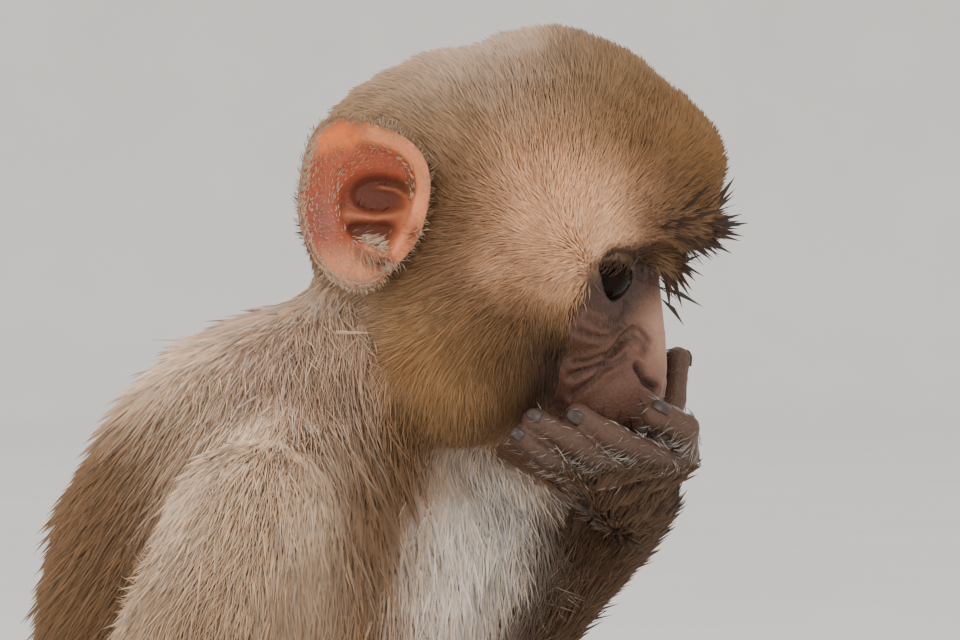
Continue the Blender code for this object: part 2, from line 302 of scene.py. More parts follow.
class Value:
    """A socket of a material that takes part in sums."""

    def __init__(self, shade, socket):
        self.shade = shade
        self.socket = socket

    def _with(self, other, operation):
        return self.shade.add("ShaderNodeMath", {"operation": operation}, {0: self, 1: other})

    def __add__(self, other):
        return self._with(other, "ADD")

    def __mul__(self, other):
        return self._with(other, "MULTIPLY")


class Shade:
    """A material's nodes."""

    def __init__(self, name, roughness, **constants):
        self.material = bpy.data.materials.new(name)
        self.material.use_nodes = True
        self.tree = self.material.node_tree
        self.shader = self.tree.nodes["Principled BSDF"]
        self.shader.inputs["Roughness"].default_value = roughness
        for socket, value in constants.items():
            self.shader.inputs[socket.replace("_", " ")].default_value = value

    def add(self, kind, settings, values, output=0):
        node = self.tree.nodes.new(kind)
        for setting, value in settings.items():
            setattr(node, setting, value)
        for socket, value in values.items():
            self.put(node.inputs[socket], value)
        return Value(self, node.outputs[output])

    def put(self, socket, value):
        if isinstance(value, Value):
            self.tree.links.new(value.socket, socket)
        else:
            socket.default_value = value

    def attribute(self, name, colour=False):
        return self.add("ShaderNodeAttribute", {"attribute_name": name}, {}, 0 if colour else 2)

    def place(self):
        return self.add("ShaderNodeTexCoord", {}, {}, 3)

    def noise(self, size, detail=3.0):
        """Noise from 0 to 1 whose lumps are about size metres across."""
        values = {"Vector": self.place(), "Scale": 1 / size, "Detail": detail}
        return self.add("ShaderNodeTexNoise", {}, values)

    def ramp(self, value, *stops):
        node = self.tree.nodes.new("ShaderNodeValToRGB")
        while len(node.color_ramp.elements) < len(stops):
            node.color_ramp.elements.new(0.5)
        for element, (position, colour) in zip(node.color_ramp.elements, stops):
            element.position = position
            element.color = (*colour, 1)
        self.put(node.inputs[0], value)
        return Value(self, node.outputs[0])

    def mix(self, factor, first, second, kind="MIX"):
        node = self.tree.nodes.new("ShaderNodeMix")
        node.data_type = "RGBA"
        node.blend_type = kind
        self.put(node.inputs[0], factor)
        self.put(node.inputs[6], first)
        self.put(node.inputs[7], second)
        return Value(self, node.outputs[2])

    def bump(self, height, depth, strength=1.0):
        values = {"Strength": strength, "Distance": depth, "Height": height}
        self.put(self.shader.inputs["Normal"], self.add("ShaderNodeBump", {}, values))

    def base(self, colour):
        self.put(self.shader.inputs["Base Color"], colour)

    def rough(self, value):
        self.put(self.shader.inputs["Roughness"], value)


# ---------------------------------------------------------------- the body's parts

COAT_DEPTH = {  # how far the hair stands over the skin
    "trunk": 8.0,
    "neck": 7.5,
    "jaw": 0.3,
    "upper_arm": 5.5,
    "forearm": 4.2,
    "hand": 0.1,
    "thigh": 6.0,
    "shank": 4.0,
    "foot": 0.1,
    "tail": 3.0,
}
NEXT_PART = {  # the way that the hair lies: from each part towards the next one
    "upper_arm_right": "forearm_right",
    "upper_arm_left": "forearm_left",
    "forearm_right": "hand_right",
    "forearm_left": "hand_left",
    "hand_right": None,
    "hand_left": None,
    "thigh_right": "shank_right",
    "thigh_left": "shank_left",
    "shank_right": "foot_right",
    "shank_left": "foot_left",
    "foot_right": None,
    "foot_left": None,
    "tail_base": "tail_tip",
    "tail_tip": None,
}
PREVIOUS_PART = {following: part for part, following in NEXT_PART.items() if following}
FLESH = [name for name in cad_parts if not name.startswith(("eye", "ear"))]
SHOULDER_PARTS = ("trunk", "neck", "upper_arm_left", "upper_arm_right")
MELT_ROUNDS = 170  # how often the grooves between the parts of the shoulders are smoothed
BORDER_ROUNDS = 22  # how often the borders between the parts are softened
TONE_ROUNDS = 130  # how often the colours of the coat are spread along the skin
HAND_GRAIN = 0.00055  # the size of the faces of the hand that is held up, in metres


def hands_and_feet(parts):
    """The share of the hands and feet together at each place."""
    return sum(share for name, share in parts.items() if name.startswith(("hand", "foot")))


def part_axis(name):
    """The way a long part runs, from its upper to its lower end."""
    first, last = (name, NEXT_PART[name]) if NEXT_PART[name] else (PREVIOUS_PART[name], name)
    return np.array((node_middle(last) - node_middle(first)).normalized())


HEAD_HAIR = {  # place, the way that the hair points, its length, how much it stands off, depth of the coat
    "nape": ((-28, 12, -8), (-0.6, 0.1, -0.8), 11, 0.35, 5.5),
    "back": ((-32, 10, 20), (-0.8, 0.1, -0.6), 10, 0.35, 5.0),
    "rear_low": ((-22, 28, 12), (-0.9, 0.2, -0.5), 9, 0.3, 4.0),
    "crown_rear": ((-13, 23, 35), (-1.0, 0.2, -0.1), 9, 0.4, 4.5),
    "crown_back": ((-18, 5, 42), (-1.0, 0, 0.0), 9, 0.35, 6.0),
    "over_ear": ((-8, 33, 27), (-1.0, 0.2, -0.1), 8, 0.3, 2.5),
    "crown_side": ((0, 32, 33), (-0.9, 0.1, 0.4), 8, 0.4, 3.5),
    "crown_middle": ((9, 28, 41), (-0.7, 0.1, 0.7), 8, 0.5, 4.5),
    "crown_ridge": ((6, 4, 53), (-0.8, 0, 0.6), 9, 0.5, 6.2),
    "crown_top": ((22, 27, 45), (-0.5, 0.1, 0.9), 8, 0.6, 5.0),
    "top": ((28, 8, 60), (-0.3, 0, 1.0), 8.5, 0.8, 7.0),
    "front_top": ((45, 12, 54), (0.1, 0, 1.0), 8.5, 0.8, 7.0),
    "fore_side": ((48, 24, 40), (0, 0.1, 1.0), 7, 0.7, 5.0),
    "fore_middle": ((55, 19, 34), (0.4, 0.1, 0.9), 7.5, 0.8, 6.0),
    "fore_edge": ((63, 10, 33), (0.8, 0, 0.6), 8.5, 0.9, 7.0),
    "brow_top": ((66, 6, 27), (0.5, 0, 0.85), 7.5, 0.8, 7.2),
    "brow_tuft": ((66, 4, 21), (0.9, 0, 0.1), 6.5, 0.9, 6.8),
    "brow_low": ((62, 6, 18), (0.7, 0, -0.7), 9, 1.0, 5.6),
    "brow_under": ((58, 4, 16), (0.8, 0, -0.6), 8, 1.0, 5.0),
    "brow_inner": ((52, 21, 25), (0.3, 0.1, 0.9), 5, 0.5, 2.5),
    "lid_skin": ((50, 19, 16), (0.3, 0.1, 0.9), 3.2, 0.35, 0.6),
    "temple": ((38, 29, 24), (-0.2, 0.1, 1.0), 4.0, 0.4, 1.4),
    "temple_top": ((30, 30, 35), (-0.3, 0, 1.0), 6, 0.45, 2.8),
    "temple_back": ((31, 32, 16), (-0.9, 0.1, 0.3), 4.5, 0.3, 1.6),
    "temple_low": ((37, 30, 6), (-0.9, 0.1, -0.4), 5, 0.3, 1.6),
    "before_ear": ((9, 38, 18), (-0.8, 0.1, 0.6), 6, 0.35, 2.0),
    "side": ((19, 38, 9), (-0.9, 0.1, -0.3), 7, 0.25, 2.6),
    "side_low": ((25, 36, 3), (-0.7, 0.1, -0.7), 8, 0.3, 3.2),
    "under_ear": ((7, 37, -15), (-0.9, 0.2, -0.4), 8, 0.3, 3.0),
    "cheek_top": ((19, 39, -7), (-0.55, 0.1, -0.85), 10, 0.3, 4.2),
    "cheek_front": ((34, 34, -3), (-0.5, 0.1, -0.85), 9, 0.3, 3.4),
    "cheek_middle": ((29, 38, -11), (-0.3, 0.1, -0.95), 11, 0.32, 4.8),
    "eye_corner": ((42, 28, -1), (0.1, 0.1, -1.0), 6, 0.3, 2.0),
    "under_eye": ((47, 25, -4), (0.5, 0.1, -0.8), 4.5, 0.25, 1.2),
    "whisker_patch": ((44, 28, -16), (0.4, 0.1, -0.9), 8, 0.35, 2.6),
    "cheek_low": ((22, 37, -28), (0.15, 0, -1.0), 12, 0.32, 5.5),
    "cheek_low_front": ((34, 34, -25), (0.45, 0, -0.9), 10, 0.32, 4.5),
    "jaw_back": ((12, 30, -36), (-0.3, 0, -0.95), 11, 0.32, 5.5),
    "throat": ((22, 6, -42), (-0.5, 0, -0.8), 10, 0.35, 5.0),
    "chin": ((42, 6, -40), (-0.3, 0, -0.95), 5, 0.3, 2.0),
}


HAIR_BLEND = 3  # how near the named places begin to blend


def hair_of_head(head):
    """The lie, length, stand and depth of the hair on the head, blended between the named places."""
    pair = paired(head)
    rows = list(HEAD_HAIR.values())
    places = np.array([row[0] for row in rows], float)
    facts = np.array([(*np.array(row[1]) / np.linalg.norm(row[1]), *row[2:]) for row in rows])
    gaps = ((pair[:, None, :] - places) ** 2).sum(2)
    weights = 1 / (gaps + HAIR_BLEND**2) ** 2
    blended = weights @ facts / weights.sum(1, keepdims=True)
    return to_own_side(blended[:, :3], head), blended[:, 3], blended[:, 4], blended[:, 5]


def ear_footprint(pair):
    """1 where the ear covers the side of the head, 0 away from it."""
    own = (pair - np.array(EAR_HINGE)) @ np.array(Matrix.Rotation(-HEAD_PITCH, 3, "Y"))
    back, up = -own[:, 0] - EAR_MIDDLE[0], own[:, 2] - EAR_MIDDLE[1]
    return (1 - rise(np.hypot((back + 6) / 9.0, (up + 1) / 15.0), 0.8, 1.05)) * rise(pair[:, 1], 18, 24)


# ---------------------------------------------------------------- markings of skin and coat

FUR = {name: linear(colour) for name, colour in {
    "golden": (138, 109, 76),
    "gold_front": (126, 92, 56),
    "ochre": (148, 115, 82),
    "umber": (104, 76, 50),
    "dark": (66, 45, 33),
    "grey_beige": (214, 186, 160),
    # partly the coat's own grey, partly painted sheen of the light from above and behind
    "lilac_grey": (176, 150, 130),
    "brown_back": (118, 89, 61),
    "white": (246, 234, 222),
    # painted shade: the far arm's coat as it looks in shadow
    "dark_arm": (88, 66, 48),
    "temple": (246, 192, 152),
    "belly": (206, 190, 176),
}.items()}
BARE = {name: linear(colour) for name, colour in {
    "face": (78, 48, 36),
    "face_dark": (62, 40, 30),
    "nose": (150, 115, 99),
    "muzzle": (82, 53, 41),
    "lid": (66, 44, 35),
    # painted shade of the eye's socket under the brow
    "socket": (42, 26, 20),
    "finger": (68, 48, 40),
    "sole": (96, 70, 60),
    "ear": (166, 82, 54),
    "ear_back": (104, 70, 54),
    "ear_low": (214, 146, 108),
    # painted highlight on the rim and the ridges of the ear
    "ear_rim": (216, 138, 96),
    # painted glow of light through the thin top of the ear
    "ear_top": (240, 132, 70),
    "ear_mauve": (150, 86, 76),
    # painted shade in the ear's hollows
    "ear_deep": (100, 54, 42),
}.items()}


def blend(base, colour, share):
    return base + (colour - base) * np.clip(share, 0, 1)[:, None]


def brow_height(outside):
    """Where the bare face ends under the brow, by how far out from the middle."""
    return 16.0 - 0.0165 * outside**2


HAIRLINE = (  # where the bare face begins: the heights, and how far forward it is at each
    [-46, -38, -30, -19, -9, 1, 8, 16],
    [38, 38, 42, 45, 46, 45, 46, 51],
)


def bare_face(head):
    """1 on the bare skin of the face, 0 in the coat, from places in the head's frame."""
    forward, outside, up = paired(head).T
    hairline = np.interp(up, *HAIRLINE)
    behind = rise(forward, hairline - 1.6, hairline + 1.6)
    below = 1 - rise(up, brow_height(outside) - 0.8, brow_height(outside) + 1.6)
    return behind * below


HEAD_MARKS = {  # the tone and its strength, the middle and half sizes of the patch, and how strongly it covers
    "brow_side": ("umber", 1.0, (55, 16, 24), (12, 16, 9), 1.1),
    "temple": ("temple", 1.0, (36, 30, 18), (17, 14, 13.5), 1.8),
    "eye_corner": ("temple", 1.0, (47, 22, 13), (9, 9, 6), 1.4),
    "before_ear": ("umber", 1.15, (14, 38, 4), (17, 15, 19), 1.3),
    "jaw_front": ("umber", 0.8, (38, 31, -24), (9, 12, 17), 1.1),
    "cheek_front": ("umber", 1.0, (36, 31, -8), (11, 12, 10), 1.2),
    "whisker_patch": ("dark", 0.7, (45, 25, -14), (6, 9, 7.5), 1.6),
    "behind_eye": ("temple", 0.62, (28, 34, 5), (12, 12, 7), 0.8),
    # painted light: the middle of the cheek brighter than the coat's own golden, as where the light falls on it
    "cheek_middle": ("golden", 2.2, (21, 37, -21), (14, 12, 11), 0.95),
    "jaw_back": ("umber", 1.0, (16, 33, -44), (13, 16, 10), 1.2),
    "chin": ("white", 0.85, (34, 0, -52), (16, 22, 12), 1.3),
    # partly the neck's darker coat, partly painted shade under the head
    "neck_side": ("umber", 1.0, (18, 33, -42), (12, 23, 22), 1.5),
}


def marked(colour, places, *names):
    """The colour with some of the head's marks laid over it, one after another."""
    for name in names:
        tone, strength, middle, half_sizes, cover = HEAD_MARKS[name]
        colour = blend(colour, FUR[tone] * strength, blob(places, middle, half_sizes) * cover)
    return colour


def coat_colour(points, parts):
    """The colour of the hair at row places, with the share of each part as named weights."""
    head = to_head(points)
    pair = paired(head)
    forward, outside, up = pair.T
    x, y, z = (points / MM).T
    colour = np.tile(FUR["brown_back"], (len(points), 1))

    # The trunk: brown along the back, pale on the shoulders, chest and belly, with a painted highlight along the
    # top of the shoulders.
    flank = rise(x, -3, 15) * rise(z, 60, 145)
    colour = blend(colour, FUR["grey_beige"], 0.95 * flank)
    # Painted highlight: a brighter band along the top of the shoulders, where the light from above and behind
    # falls.
    colour = blend(colour, FUR["grey_beige"] * 1.1, near(z, 208, 16) * rise(z, 186, 204))
    front = rise(x - 0.25 * np.abs(y), 30, 58) * (1 - rise(z, 185, 215))
    colour = blend(colour, FUR["belly"], front)
    colour = blend(colour, FUR["white"], blob(points / MM, (72, 0, 170), (24, 26, 22)) * 1.3)
    # Painted shade: a dark patch on the chest beside the far forearm, in its shadow.
    colour = blend(colour, FUR["dark_arm"], rise(x, 79, 87) * (1 - rise(z, 164, 172)) * 0.95)
    colour = blend(colour, FUR["belly"], rise(x, 24, 44) * (1 - rise(z, 90, 130)))

    # Painted shade: darker brown coat in the armpit, between the upper arm and the chest.
    armpit_shade = near(x, 47, 11) * rise(np.abs(y), 20, 30) * rise(z, 110, 135)
    colour = blend(colour, FUR["brown_back"] * 1.25, armpit_shade)

    # The limbs and the tail.
    def both(*names):
        return sum(parts[name + "_right"] + parts[name + "_left"] for name in names)

    sleeve = blend(np.tile(FUR["grey_beige"], (len(points), 1)), FUR["golden"], 1 - rise(z, 105, 195))
    colour = blend(colour, sleeve, both("upper_arm"))
    forearm = parts["forearm_right"] + parts["hand_right"]
    colour = blend(colour, FUR["golden"] * 0.9 + FUR["grey_beige"] * 0.1, forearm)
    # Painted shade: the far forearm and the held hand darkened as in shadow.
    colour = blend(colour, FUR["dark_arm"], parts["forearm_left"] + parts["hand_left"])
    colour = blend(colour, FUR["golden"], 0.85 * both("thigh"))
    colour = blend(colour, FUR["golden"] * 0.8 + FUR["grey_beige"] * 0.2, both("shank", "foot"))
    colour = blend(colour, FUR["brown_back"] * 0.8, parts["tail_base"] + parts["tail_tip"])

    # The neck: pale grey, partly its own grey and partly painted sheen, and darker towards the throat's side,
    # partly its own darker coat and partly painted shade under the head.
    neck = parts["neck"]
    colour = blend(colour, FUR["lilac_grey"] * 1.25, neck)
    colour = marked(colour, pair, "neck_side")

    # The head.
    on_head = parts["head"] + parts["jaw"]
    own = np.tile(FUR["golden"], (len(points), 1))
    # Painted sheen: the rear of the crown paler where the light from above and behind falls on it.
    own = blend(own, FUR["lilac_grey"], (1 - rise(forward, 6, 38)) * rise(up, 22, 44) * 0.8)
    own = blend(own, FUR["gold_front"] * 0.98, rise(forward, 30, 56) * rise(up, 18, 36))
    own = marked(own, pair, "brow_side", "temple", "eye_corner", "before_ear")
    cheek = (1 - rise(up, -12, 4)) * (1 - rise(forward, 40, 48))
    own = blend(own, FUR["ochre"] * 0.92, cheek * 0.9)
    own = marked(own, pair, "jaw_front", "cheek_front", "whisker_patch", "behind_eye")
    eye = np.linalg.norm(pair - np.array(EYE_AT), axis=1)
    # Painted shade: the coat round the eye darkened where the brow shades it, together with the dark lashes at the
    # lids.
    own = blend(own, FUR["dark"] * 0.9, 1 - rise(eye, 9.2, 10.6 + 4.4 * rise(forward, 49, 55)))
    own = marked(own, pair, "cheek_middle", "jaw_back")
    brow = near(up, 16, 8.5) * rise(forward, 50, 62) * (1 - rise(outside, 12, 26))
    own = blend(own, FUR["dark"] * 0.9, brow)
    own = marked(own, head, "chin")
    return blend(colour, own, on_head)


def skin_colour(points, parts, cavity):
    """The colour of bare skin, with painted shade in its folds, round the eyes and on the held hand below the
    fingers.
    """
    head = to_head(points)
    pair = paired(head)
    forward, _, up = pair.T
    colour = np.tile(BARE["face"], (len(points), 1))
    colour = blend(colour, BARE["face_dark"], (1 - rise(forward, 46, 54)) * 0.8)
    colour = blend(colour, BARE["nose"], blob(pair, (62, 0, -2), (7, 6.5, 12)) * 1.3)
    colour = blend(colour, BARE["muzzle"], rise(-up, 11, 17))
    eye = np.linalg.norm(pair - np.array(EYE_AT), axis=1)
    # Painted shade: darker skin round the eye where the brow shades it, less towards the front of the face.
    colour = blend(colour, BARE["socket"], (1 - rise(eye, 10.6, 18.5)) * (1 - 0.55 * rise(forward, 54, 59)))
    colour = blend(colour, FUR["temple"] * 0.55, blob(pair, (49, 21, 13), (5, 5, 3.5)) * 0.9)
    colour = blend(colour, BARE["lid"], blob(pair, (53, 15, 1), (4, 6, 3)) * 0.8)
    # Painted shade in the hollow between the eye and the nose.
    colour = blend(colour, BARE["socket"] * 0.9, blob(pair, (57, 5, 10), (4, 5, 5)) * 0.8)
    hands = parts["hand_right"] + parts["hand_left"]
    feet = parts["foot_right"] + parts["foot_left"]
    # Painted shade: the held hand darker below its fingers, as in shadow.
    shade_below_fingers = 0.68 * parts["hand_left"] * (1 - rise(points[:, 2] / MM, 174, 187))
    colour = blend(colour, BARE["finger"] * (1 - shade_below_fingers)[:, None], hands)
    colour = blend(colour, BARE["sole"], feet)
    # Painted shade in the folds, the nostrils and the mouth.
    return colour * np.exp(-1.1 * np.clip(cavity, 0, 2.4))[:, None]


# ---------------------------------------------------------------- the form under the coat


class Ground:
    """A surface that hair grows on: its corners and, at each, the lie, length and stand of the hair."""

    tree = None

    def __init__(self, points, normals, triangles, lie, length, stand):
        self.points, self.normals, self.triangles = points, normals, triangles
        self.lie, self.length, self.stand = lie, length, stand
        self.covered = np.zeros(len(points))
        self.tone = np.tile(FUR["grey_beige"], (len(points), 1))

    def feet(self, places):
        """The nearest point of the surface to each place, with the surface's normal there."""
        if not self.tree:
            self.tree = BVHTree.FromPolygons(self.points.tolist(), self.triangles.tolist())
        found = [self.tree.find_nearest(place) for place in places]
        faces = [face for _, _, face, _ in found]
        return np.array([foot for foot, *_ in found]), self.normals[self.triangles[faces][:, 0]]


class Form(Ground):
    """The body's surface with its parts, the depth of its coat and the way that the hair lies."""

    def __init__(self, mesh, only=None, rounds=36):
        self.web = Web(mesh)
        self.points = mesh_points(mesh)
        if only:
            self.parts = {name: np.full(len(self.points), float(name == only)) for name in FLESH}
        else:
            self.parts = self.find_parts()
        self.points = self.web.relax(self.points, rounds, 1 - 0.75 * hands_and_feet(self.parts))
        joins = sum(self.parts[name] for name in SHOULDER_PARTS)
        self.points = self.web.melt(self.points, MELT_ROUNDS, joins)
        self.skinned(mesh)
        self.bare = self.web.spread(bare_face(to_head(self.points)) * self.parts["head"], 2) + self.parts["jaw"]
        lie, length, stand, depth = coat_facts(self.points, self.normals, self.parts, self.bare)
        self.lie = self.combed(lie)
        self.length = self.web.spread(length, 4)
        self.stand = self.web.spread(stand, 4)
        self.depth = self.web.spread(depth, 6)
        self.covered = ear_footprint(paired(to_head(self.points))) * self.parts["head"]
        self.points = self.points - self.normals * self.depth[:, None] * MM
        self.points = self.web.relax(self.points, 16, np.clip(self.depth / 4, 0, 1))
        self.skinned(mesh)
        self.triangles = mesh_triangles(mesh)
        tone = coat_colour(self.points, self.parts)
        clear = rise(to_head(self.points)[:, 0], 8, 26) * self.parts["head"]
        clear = np.maximum(clear, blob(self.points / MM, (76, 0, 168), (20, 30, 18)))
        self.tone = blend(self.web.spread(tone, TONE_ROUNDS), self.web.spread(tone, 4), clear)

    def combed(self, lie):
        """The lie laid flat on the skin and carried into the places where it would stand on end."""
        along = lie - self.normals * (lie * self.normals).sum(1)[:, None]
        sure = rise(np.linalg.norm(along, axis=1), 0.25, 0.75)[:, None]
        flat = along
        for _ in range(14):
            flat = self.web.spread(flat, 4)
            flat = unit(flat - self.normals * (flat * self.normals).sum(1)[:, None])
            flat = flat * (1 - 0.7 * sure) + unit(along) * 0.7 * sure
        return unit(flat)

    def skinned(self, mesh):
        set_points(mesh, self.points)
        self.normals = unit(self.web.spread(mesh_normals(mesh), 2))

    def find_parts(self):
        """How much each part of the body owns each corner, with soft borders."""
        corners, faces, owners = [], [], []
        for index, name in enumerate(FLESH):
            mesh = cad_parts[name].data
            start = len(corners)
            corners.extend(vertex.co for vertex in mesh.vertices)
            faces.extend([start + corner for corner in face.vertices] for face in mesh.polygons)
            owners.extend([index] * len(mesh.polygons))
        tree = BVHTree.FromPolygons(corners, faces)
        found = np.array([owners[tree.find_nearest(point)[2]] for point in self.points])
        shares = self.web.spread(np.eye(len(FLESH))[found], BORDER_ROUNDS)
        return {name: shares[:, index] for index, name in enumerate(FLESH)}


def side_flow(points, normals, lie, parts):
    """The lie over the shoulders, flanks and neck: out over what faces inwards, then down and back."""
    x, y, z = (points / MM).T
    share = sum(parts[name] for name in SHOULDER_PARTS) * rise(z, 60, 95)
    outward = np.clip(y / 12, -1, 1)
    facing = normals[:, 1] * outward
    down = rise(facing, -0.15, 0.3)
    back = -0.42 + 0.36 * rise(x, 0, 34) - 0.25 * (1 - rise(x, -20, 8)) * rise(z, 150, 185)
    rising = np.clip((normals[:, 2] - back * normals[:, 0]) / np.clip(facing, 0.1, 1), -1.1, 1.1)
    aside = outward * (rising * down + 1.1 * (1 - down))
    flow = np.stack([back, aside, -down], 1)
    return lie * (1 - share)[:, None] + flow * share[:, None]


def near_bend(points, parts, first, second):
    """1 where two parts meet, 0 further along both."""
    both = parts[first] * parts[second]
    middle = (points * both[:, None]).sum(0) / max(both.sum(), 1e-6)
    return 1 - rise(np.linalg.norm(points - middle, axis=1) / MM, 12, 30)


def coat_facts(points, normals, parts, bare):
    """The lie of the hair, its length, its stand and the depth of the coat, all for each corner."""
    depth = np.zeros(len(points))
    for name, share in parts.items():
        kind = "tail" if name.startswith("tail") else name.replace("_right", "").replace("_left", "")
        if kind != "head":
            depth += share * COAT_DEPTH[kind]
    x, _, z = (points / MM).T
    ruff = blob(points / MM, (82, 5, 161), (20, 20, 17)) * parts["trunk"]
    depth -= 5.6 * ruff
    depth += 3.2 * parts["hand_left"] * (1 - rise(z, 171, 179))
    bent = sum(near_bend(points, parts, "thigh_" + side, "shank_" + side) for side in SIDES)
    length = (depth * 2.3 + 1.5) * (1 - 0.62 * bent) + 2 * ruff
    lie = np.stack([-0.25 + 0.55 * rise(x, 15, 45), 0 * x, -np.ones(len(x))], 1)
    neck = parts["neck"][:, None]
    lie = lie * (1 - neck) + np.array([-0.45, 0, -1]) * neck
    for name in parts:
        if name in NEXT_PART:
            share = parts[name][:, None]
            lie = lie * (1 - share) + part_axis(name) * share
    lie = side_flow(points, normals, lie, parts)
    head_lie, head_length, head_stand, head_depth = hair_of_head(to_head(points))
    covered = ear_footprint(paired(to_head(points)))
    head_depth = head_depth * (1 - np.clip(bare, 0, 1)) + 4.5 * covered
    head = parts["head"]
    lie = lie * (1 - head)[:, None] + head_lie @ TURN.T * head[:, None]
    length = length + (head_length * 0.9 - length) * head
    stand = 0.17 - 0.1 * bent + 0.1 * ruff
    stand = stand + (head_stand - stand) * head
    depth = depth + head_depth * head
    return lie, length, stand, depth


# ---------------------------------------------------------------- the features of the face and ears

FACE_FOLDS = {  # lines on the left of the face, with how deep and how wide each furrow is
    "under_eye": (0.8, 0.9, [(50, 23.5, -1.8), (52, 20.7, -2.6), (53, 17, -2.5), (54, 9.4, -1), (55, 6.7, 1.9)]),
    "pouch": (0.75, 0.9, [(48, 24.8, -5), (51, 22.4, -5.5), (53, 19.2, -5.5), (53, 13.2, -4.1), (54, 9.5, -2.4)]),
    "nose_side": (1.2, 1.2, [(61, 4.9, -6.8), (60, 5, -4.5), (57, 5.6, -4), (56, 8.9, -5.5), (56, 12.1, -8.1),
                             (55, 14.2, -10.9), (52, 16.7, -13.7), (49, 17.6, -16)]),
    "outer_cheek": (0.9, 0.9, [(61, 4.6, -3.4), (58, 5.2, -1.8), (56, 5.5, -2.5), (55, 9.2, -4.8), (55, 13.2, -8.5),
                               (52, 16.7, -11.1), (49, 18.6, -13)]),
    "lip_side": (0.9, 1.0, [(58, 9.3, -8.7), (56, 13, -11.7), (55, 14.8, -13.4), (53, 16, -17.4),
                            (51, 16.2, -20.8)]),
    "lid_crease": (0.8, 0.9, [(49, 21.5, 11.5), (51, 19, 14.4), (53, 15.5, 15.6), (55, 11, 14.5), (56.5, 7.5, 10)]),
}
NOSTRIL = (1.9, 1.0, [(61, 7.6, -10.7), (63.5, 7.0, -12.6), (66, 4.4, -13.6)])
MOUTH = (1.4, 1.0, [(67, 0, -27.5), (65, 6, -27.2), (60, 12, -26.6), (54, 16.5, -25.4)])
GAZE = np.array([0.952, 0.19, -0.24])
LID_CORNERS = (np.array([55.0, 7.3, 3.8]), np.array([49.0, 20.1, 9.3]))  # beside the nose, beside the temple


def eye_frame():
    """The axis along the left eye's opening and the one up across it."""
    ahead = GAZE / np.linalg.norm(GAZE)
    across = LID_CORNERS[1] - LID_CORNERS[0]
    across = across - ahead * (across @ ahead)
    across = across / np.linalg.norm(across)
    return across, np.cross(ahead, across)


def opening_distance(pair):
    """How far each place is outside the edge of the lids, in millimetres, less than 0 inside."""
    across, up = eye_frame()
    offset = pair - np.array(EYE_AT)
    along, height = offset @ across - 0.3, offset @ up
    arc = np.clip(1 - np.abs(along / 7.5) ** 2.3, 0, 1) ** 0.8
    over, under = height - 4.5 * arc, -4.3 * arc - height
    inside = np.maximum(over, under)
    beyond = np.hypot(np.clip(np.abs(along) - 7.5, 0, None), height)
    return np.where(np.abs(along) < 7.5, inside, beyond)


def laid_on(pair, line):
    """A line's places moved to the nearest of the surface's."""
    fine = [np.array(first) + (np.array(second) - first) * step / 3 for first, second in zip(line, line[1:])
            for step in range(3)] + [np.array(line[-1])]
    return [pair[np.linalg.norm(pair - place, axis=1).argmin()] for place in fine]


def face_furrows(pair):
    """How deep the folds, the nostrils and the mouth cut into the face, and how much painted shade their hollows
    get.
    """
    cavity = np.zeros(len(pair))
    sink = np.zeros(len(pair))
    for depth, width, line in FACE_FOLDS.values():
        gap, share = along_line(pair, laid_on(pair, line))
        cut = depth * near(gap, 0, width * 0.75) * np.sin(math.pi * np.clip(share * 0.9 + 0.05, 0, 1)) ** 0.5
        sink += cut - 0.55 * depth * near(gap, width * 1.9, width * 1.1)
        cavity += near(gap, 0, width * 0.6) * np.clip(depth, 0, 1.2) * 0.75
    depth, width, line = NOSTRIL
    line = laid_on(pair, line)
    gap, share = along_line(pair, line)
    cut = near(gap, 0, width) * rise(share, -0.3, 0.2)
    sink += depth * cut - 0.5 * near(gap, 2.1, 1.1)
    cavity += 2.4 * near(gap, 0, width * 0.8)
    depth, width, line = MOUTH
    gap, share = along_line(pair, laid_on(pair, line))
    fade = 1 - rise(share, 0.8, 1)
    sink += depth * near(gap, 0, width) * fade - 0.5 * near(gap, 2.6, 1.8) * fade
    cavity += 0.9 * near(gap, 0, width * 0.8) * fade
    return sink, cavity


def shape_face(points, normals):
    """Cuts the furrows and lays the lids. Gives the new points in the head's frame and the painted shade of the
    hollows.
    """
    pair = paired(points)
    sink, cavity = face_furrows(pair)
    front = rise(points[:, 0], 36, 44)
    points = points - normals * (sink * front)[:, None]
    cavity *= front

    # The lids stand on the ball of the eye, with the ball bare between them.
    edge = opening_distance(pair)
    centres = to_own_side(np.array(EYE_AT), points)
    offset = points - centres
    reach = np.linalg.norm(offset, axis=1)
    facing = to_own_side(offset, points) @ GAZE > 0.15 * reach
    lid = EYE_RADIUS + 0.15 + 0.6 * rise(edge, -0.15, 0.9) + 0.35 * rise(edge, 0.9, 3.2)
    lid = np.where(edge < -0.1, EYE_RADIUS - 0.9, lid)
    hold = (1 - rise(edge, 0.9, 5.0)) * facing
    reach_new = reach + (lid - reach) * hold
    points = centres + offset * (reach_new / reach)[:, None]
    # Painted shade along the edge of the lids.
    cavity += 0.8 * near(edge, 0.2, 0.5) * facing
    return points, cavity


EAR_OUTLINE = {  # how far the rim is from the middle of the ear, by the angle from its back over its top
    0: 15.4, 20: 15.6, 35: 16.8, 53: 19.3, 65: 21.0, 77: 20.8, 88: 19.3, 102: 18.2, 115: 18.6, 128: 19.5, 141: 20.2,
    153: 20.2, 165: 19.4, 180: 18.2, 192: 17.6, 211: 17.3, 229: 17.3, 243: 17.6, 252: 18.6, 264: 20.0, 277: 20.6,
    290: 20.0, 304: 18.7, 323: 16.9, 348: 15.8, 360: 15.4,
}


def ear_reach(angle):
    """How far the rim is from the middle of the ear, at an angle from the back over the top."""
    degrees = np.degrees(angle)
    angles, reaches = list(EAR_OUTLINE), list(EAR_OUTLINE.values())
    return sum(np.interp((degrees + shift) % 360, angles, reaches) for shift in (-6, 0, 6)) / 3


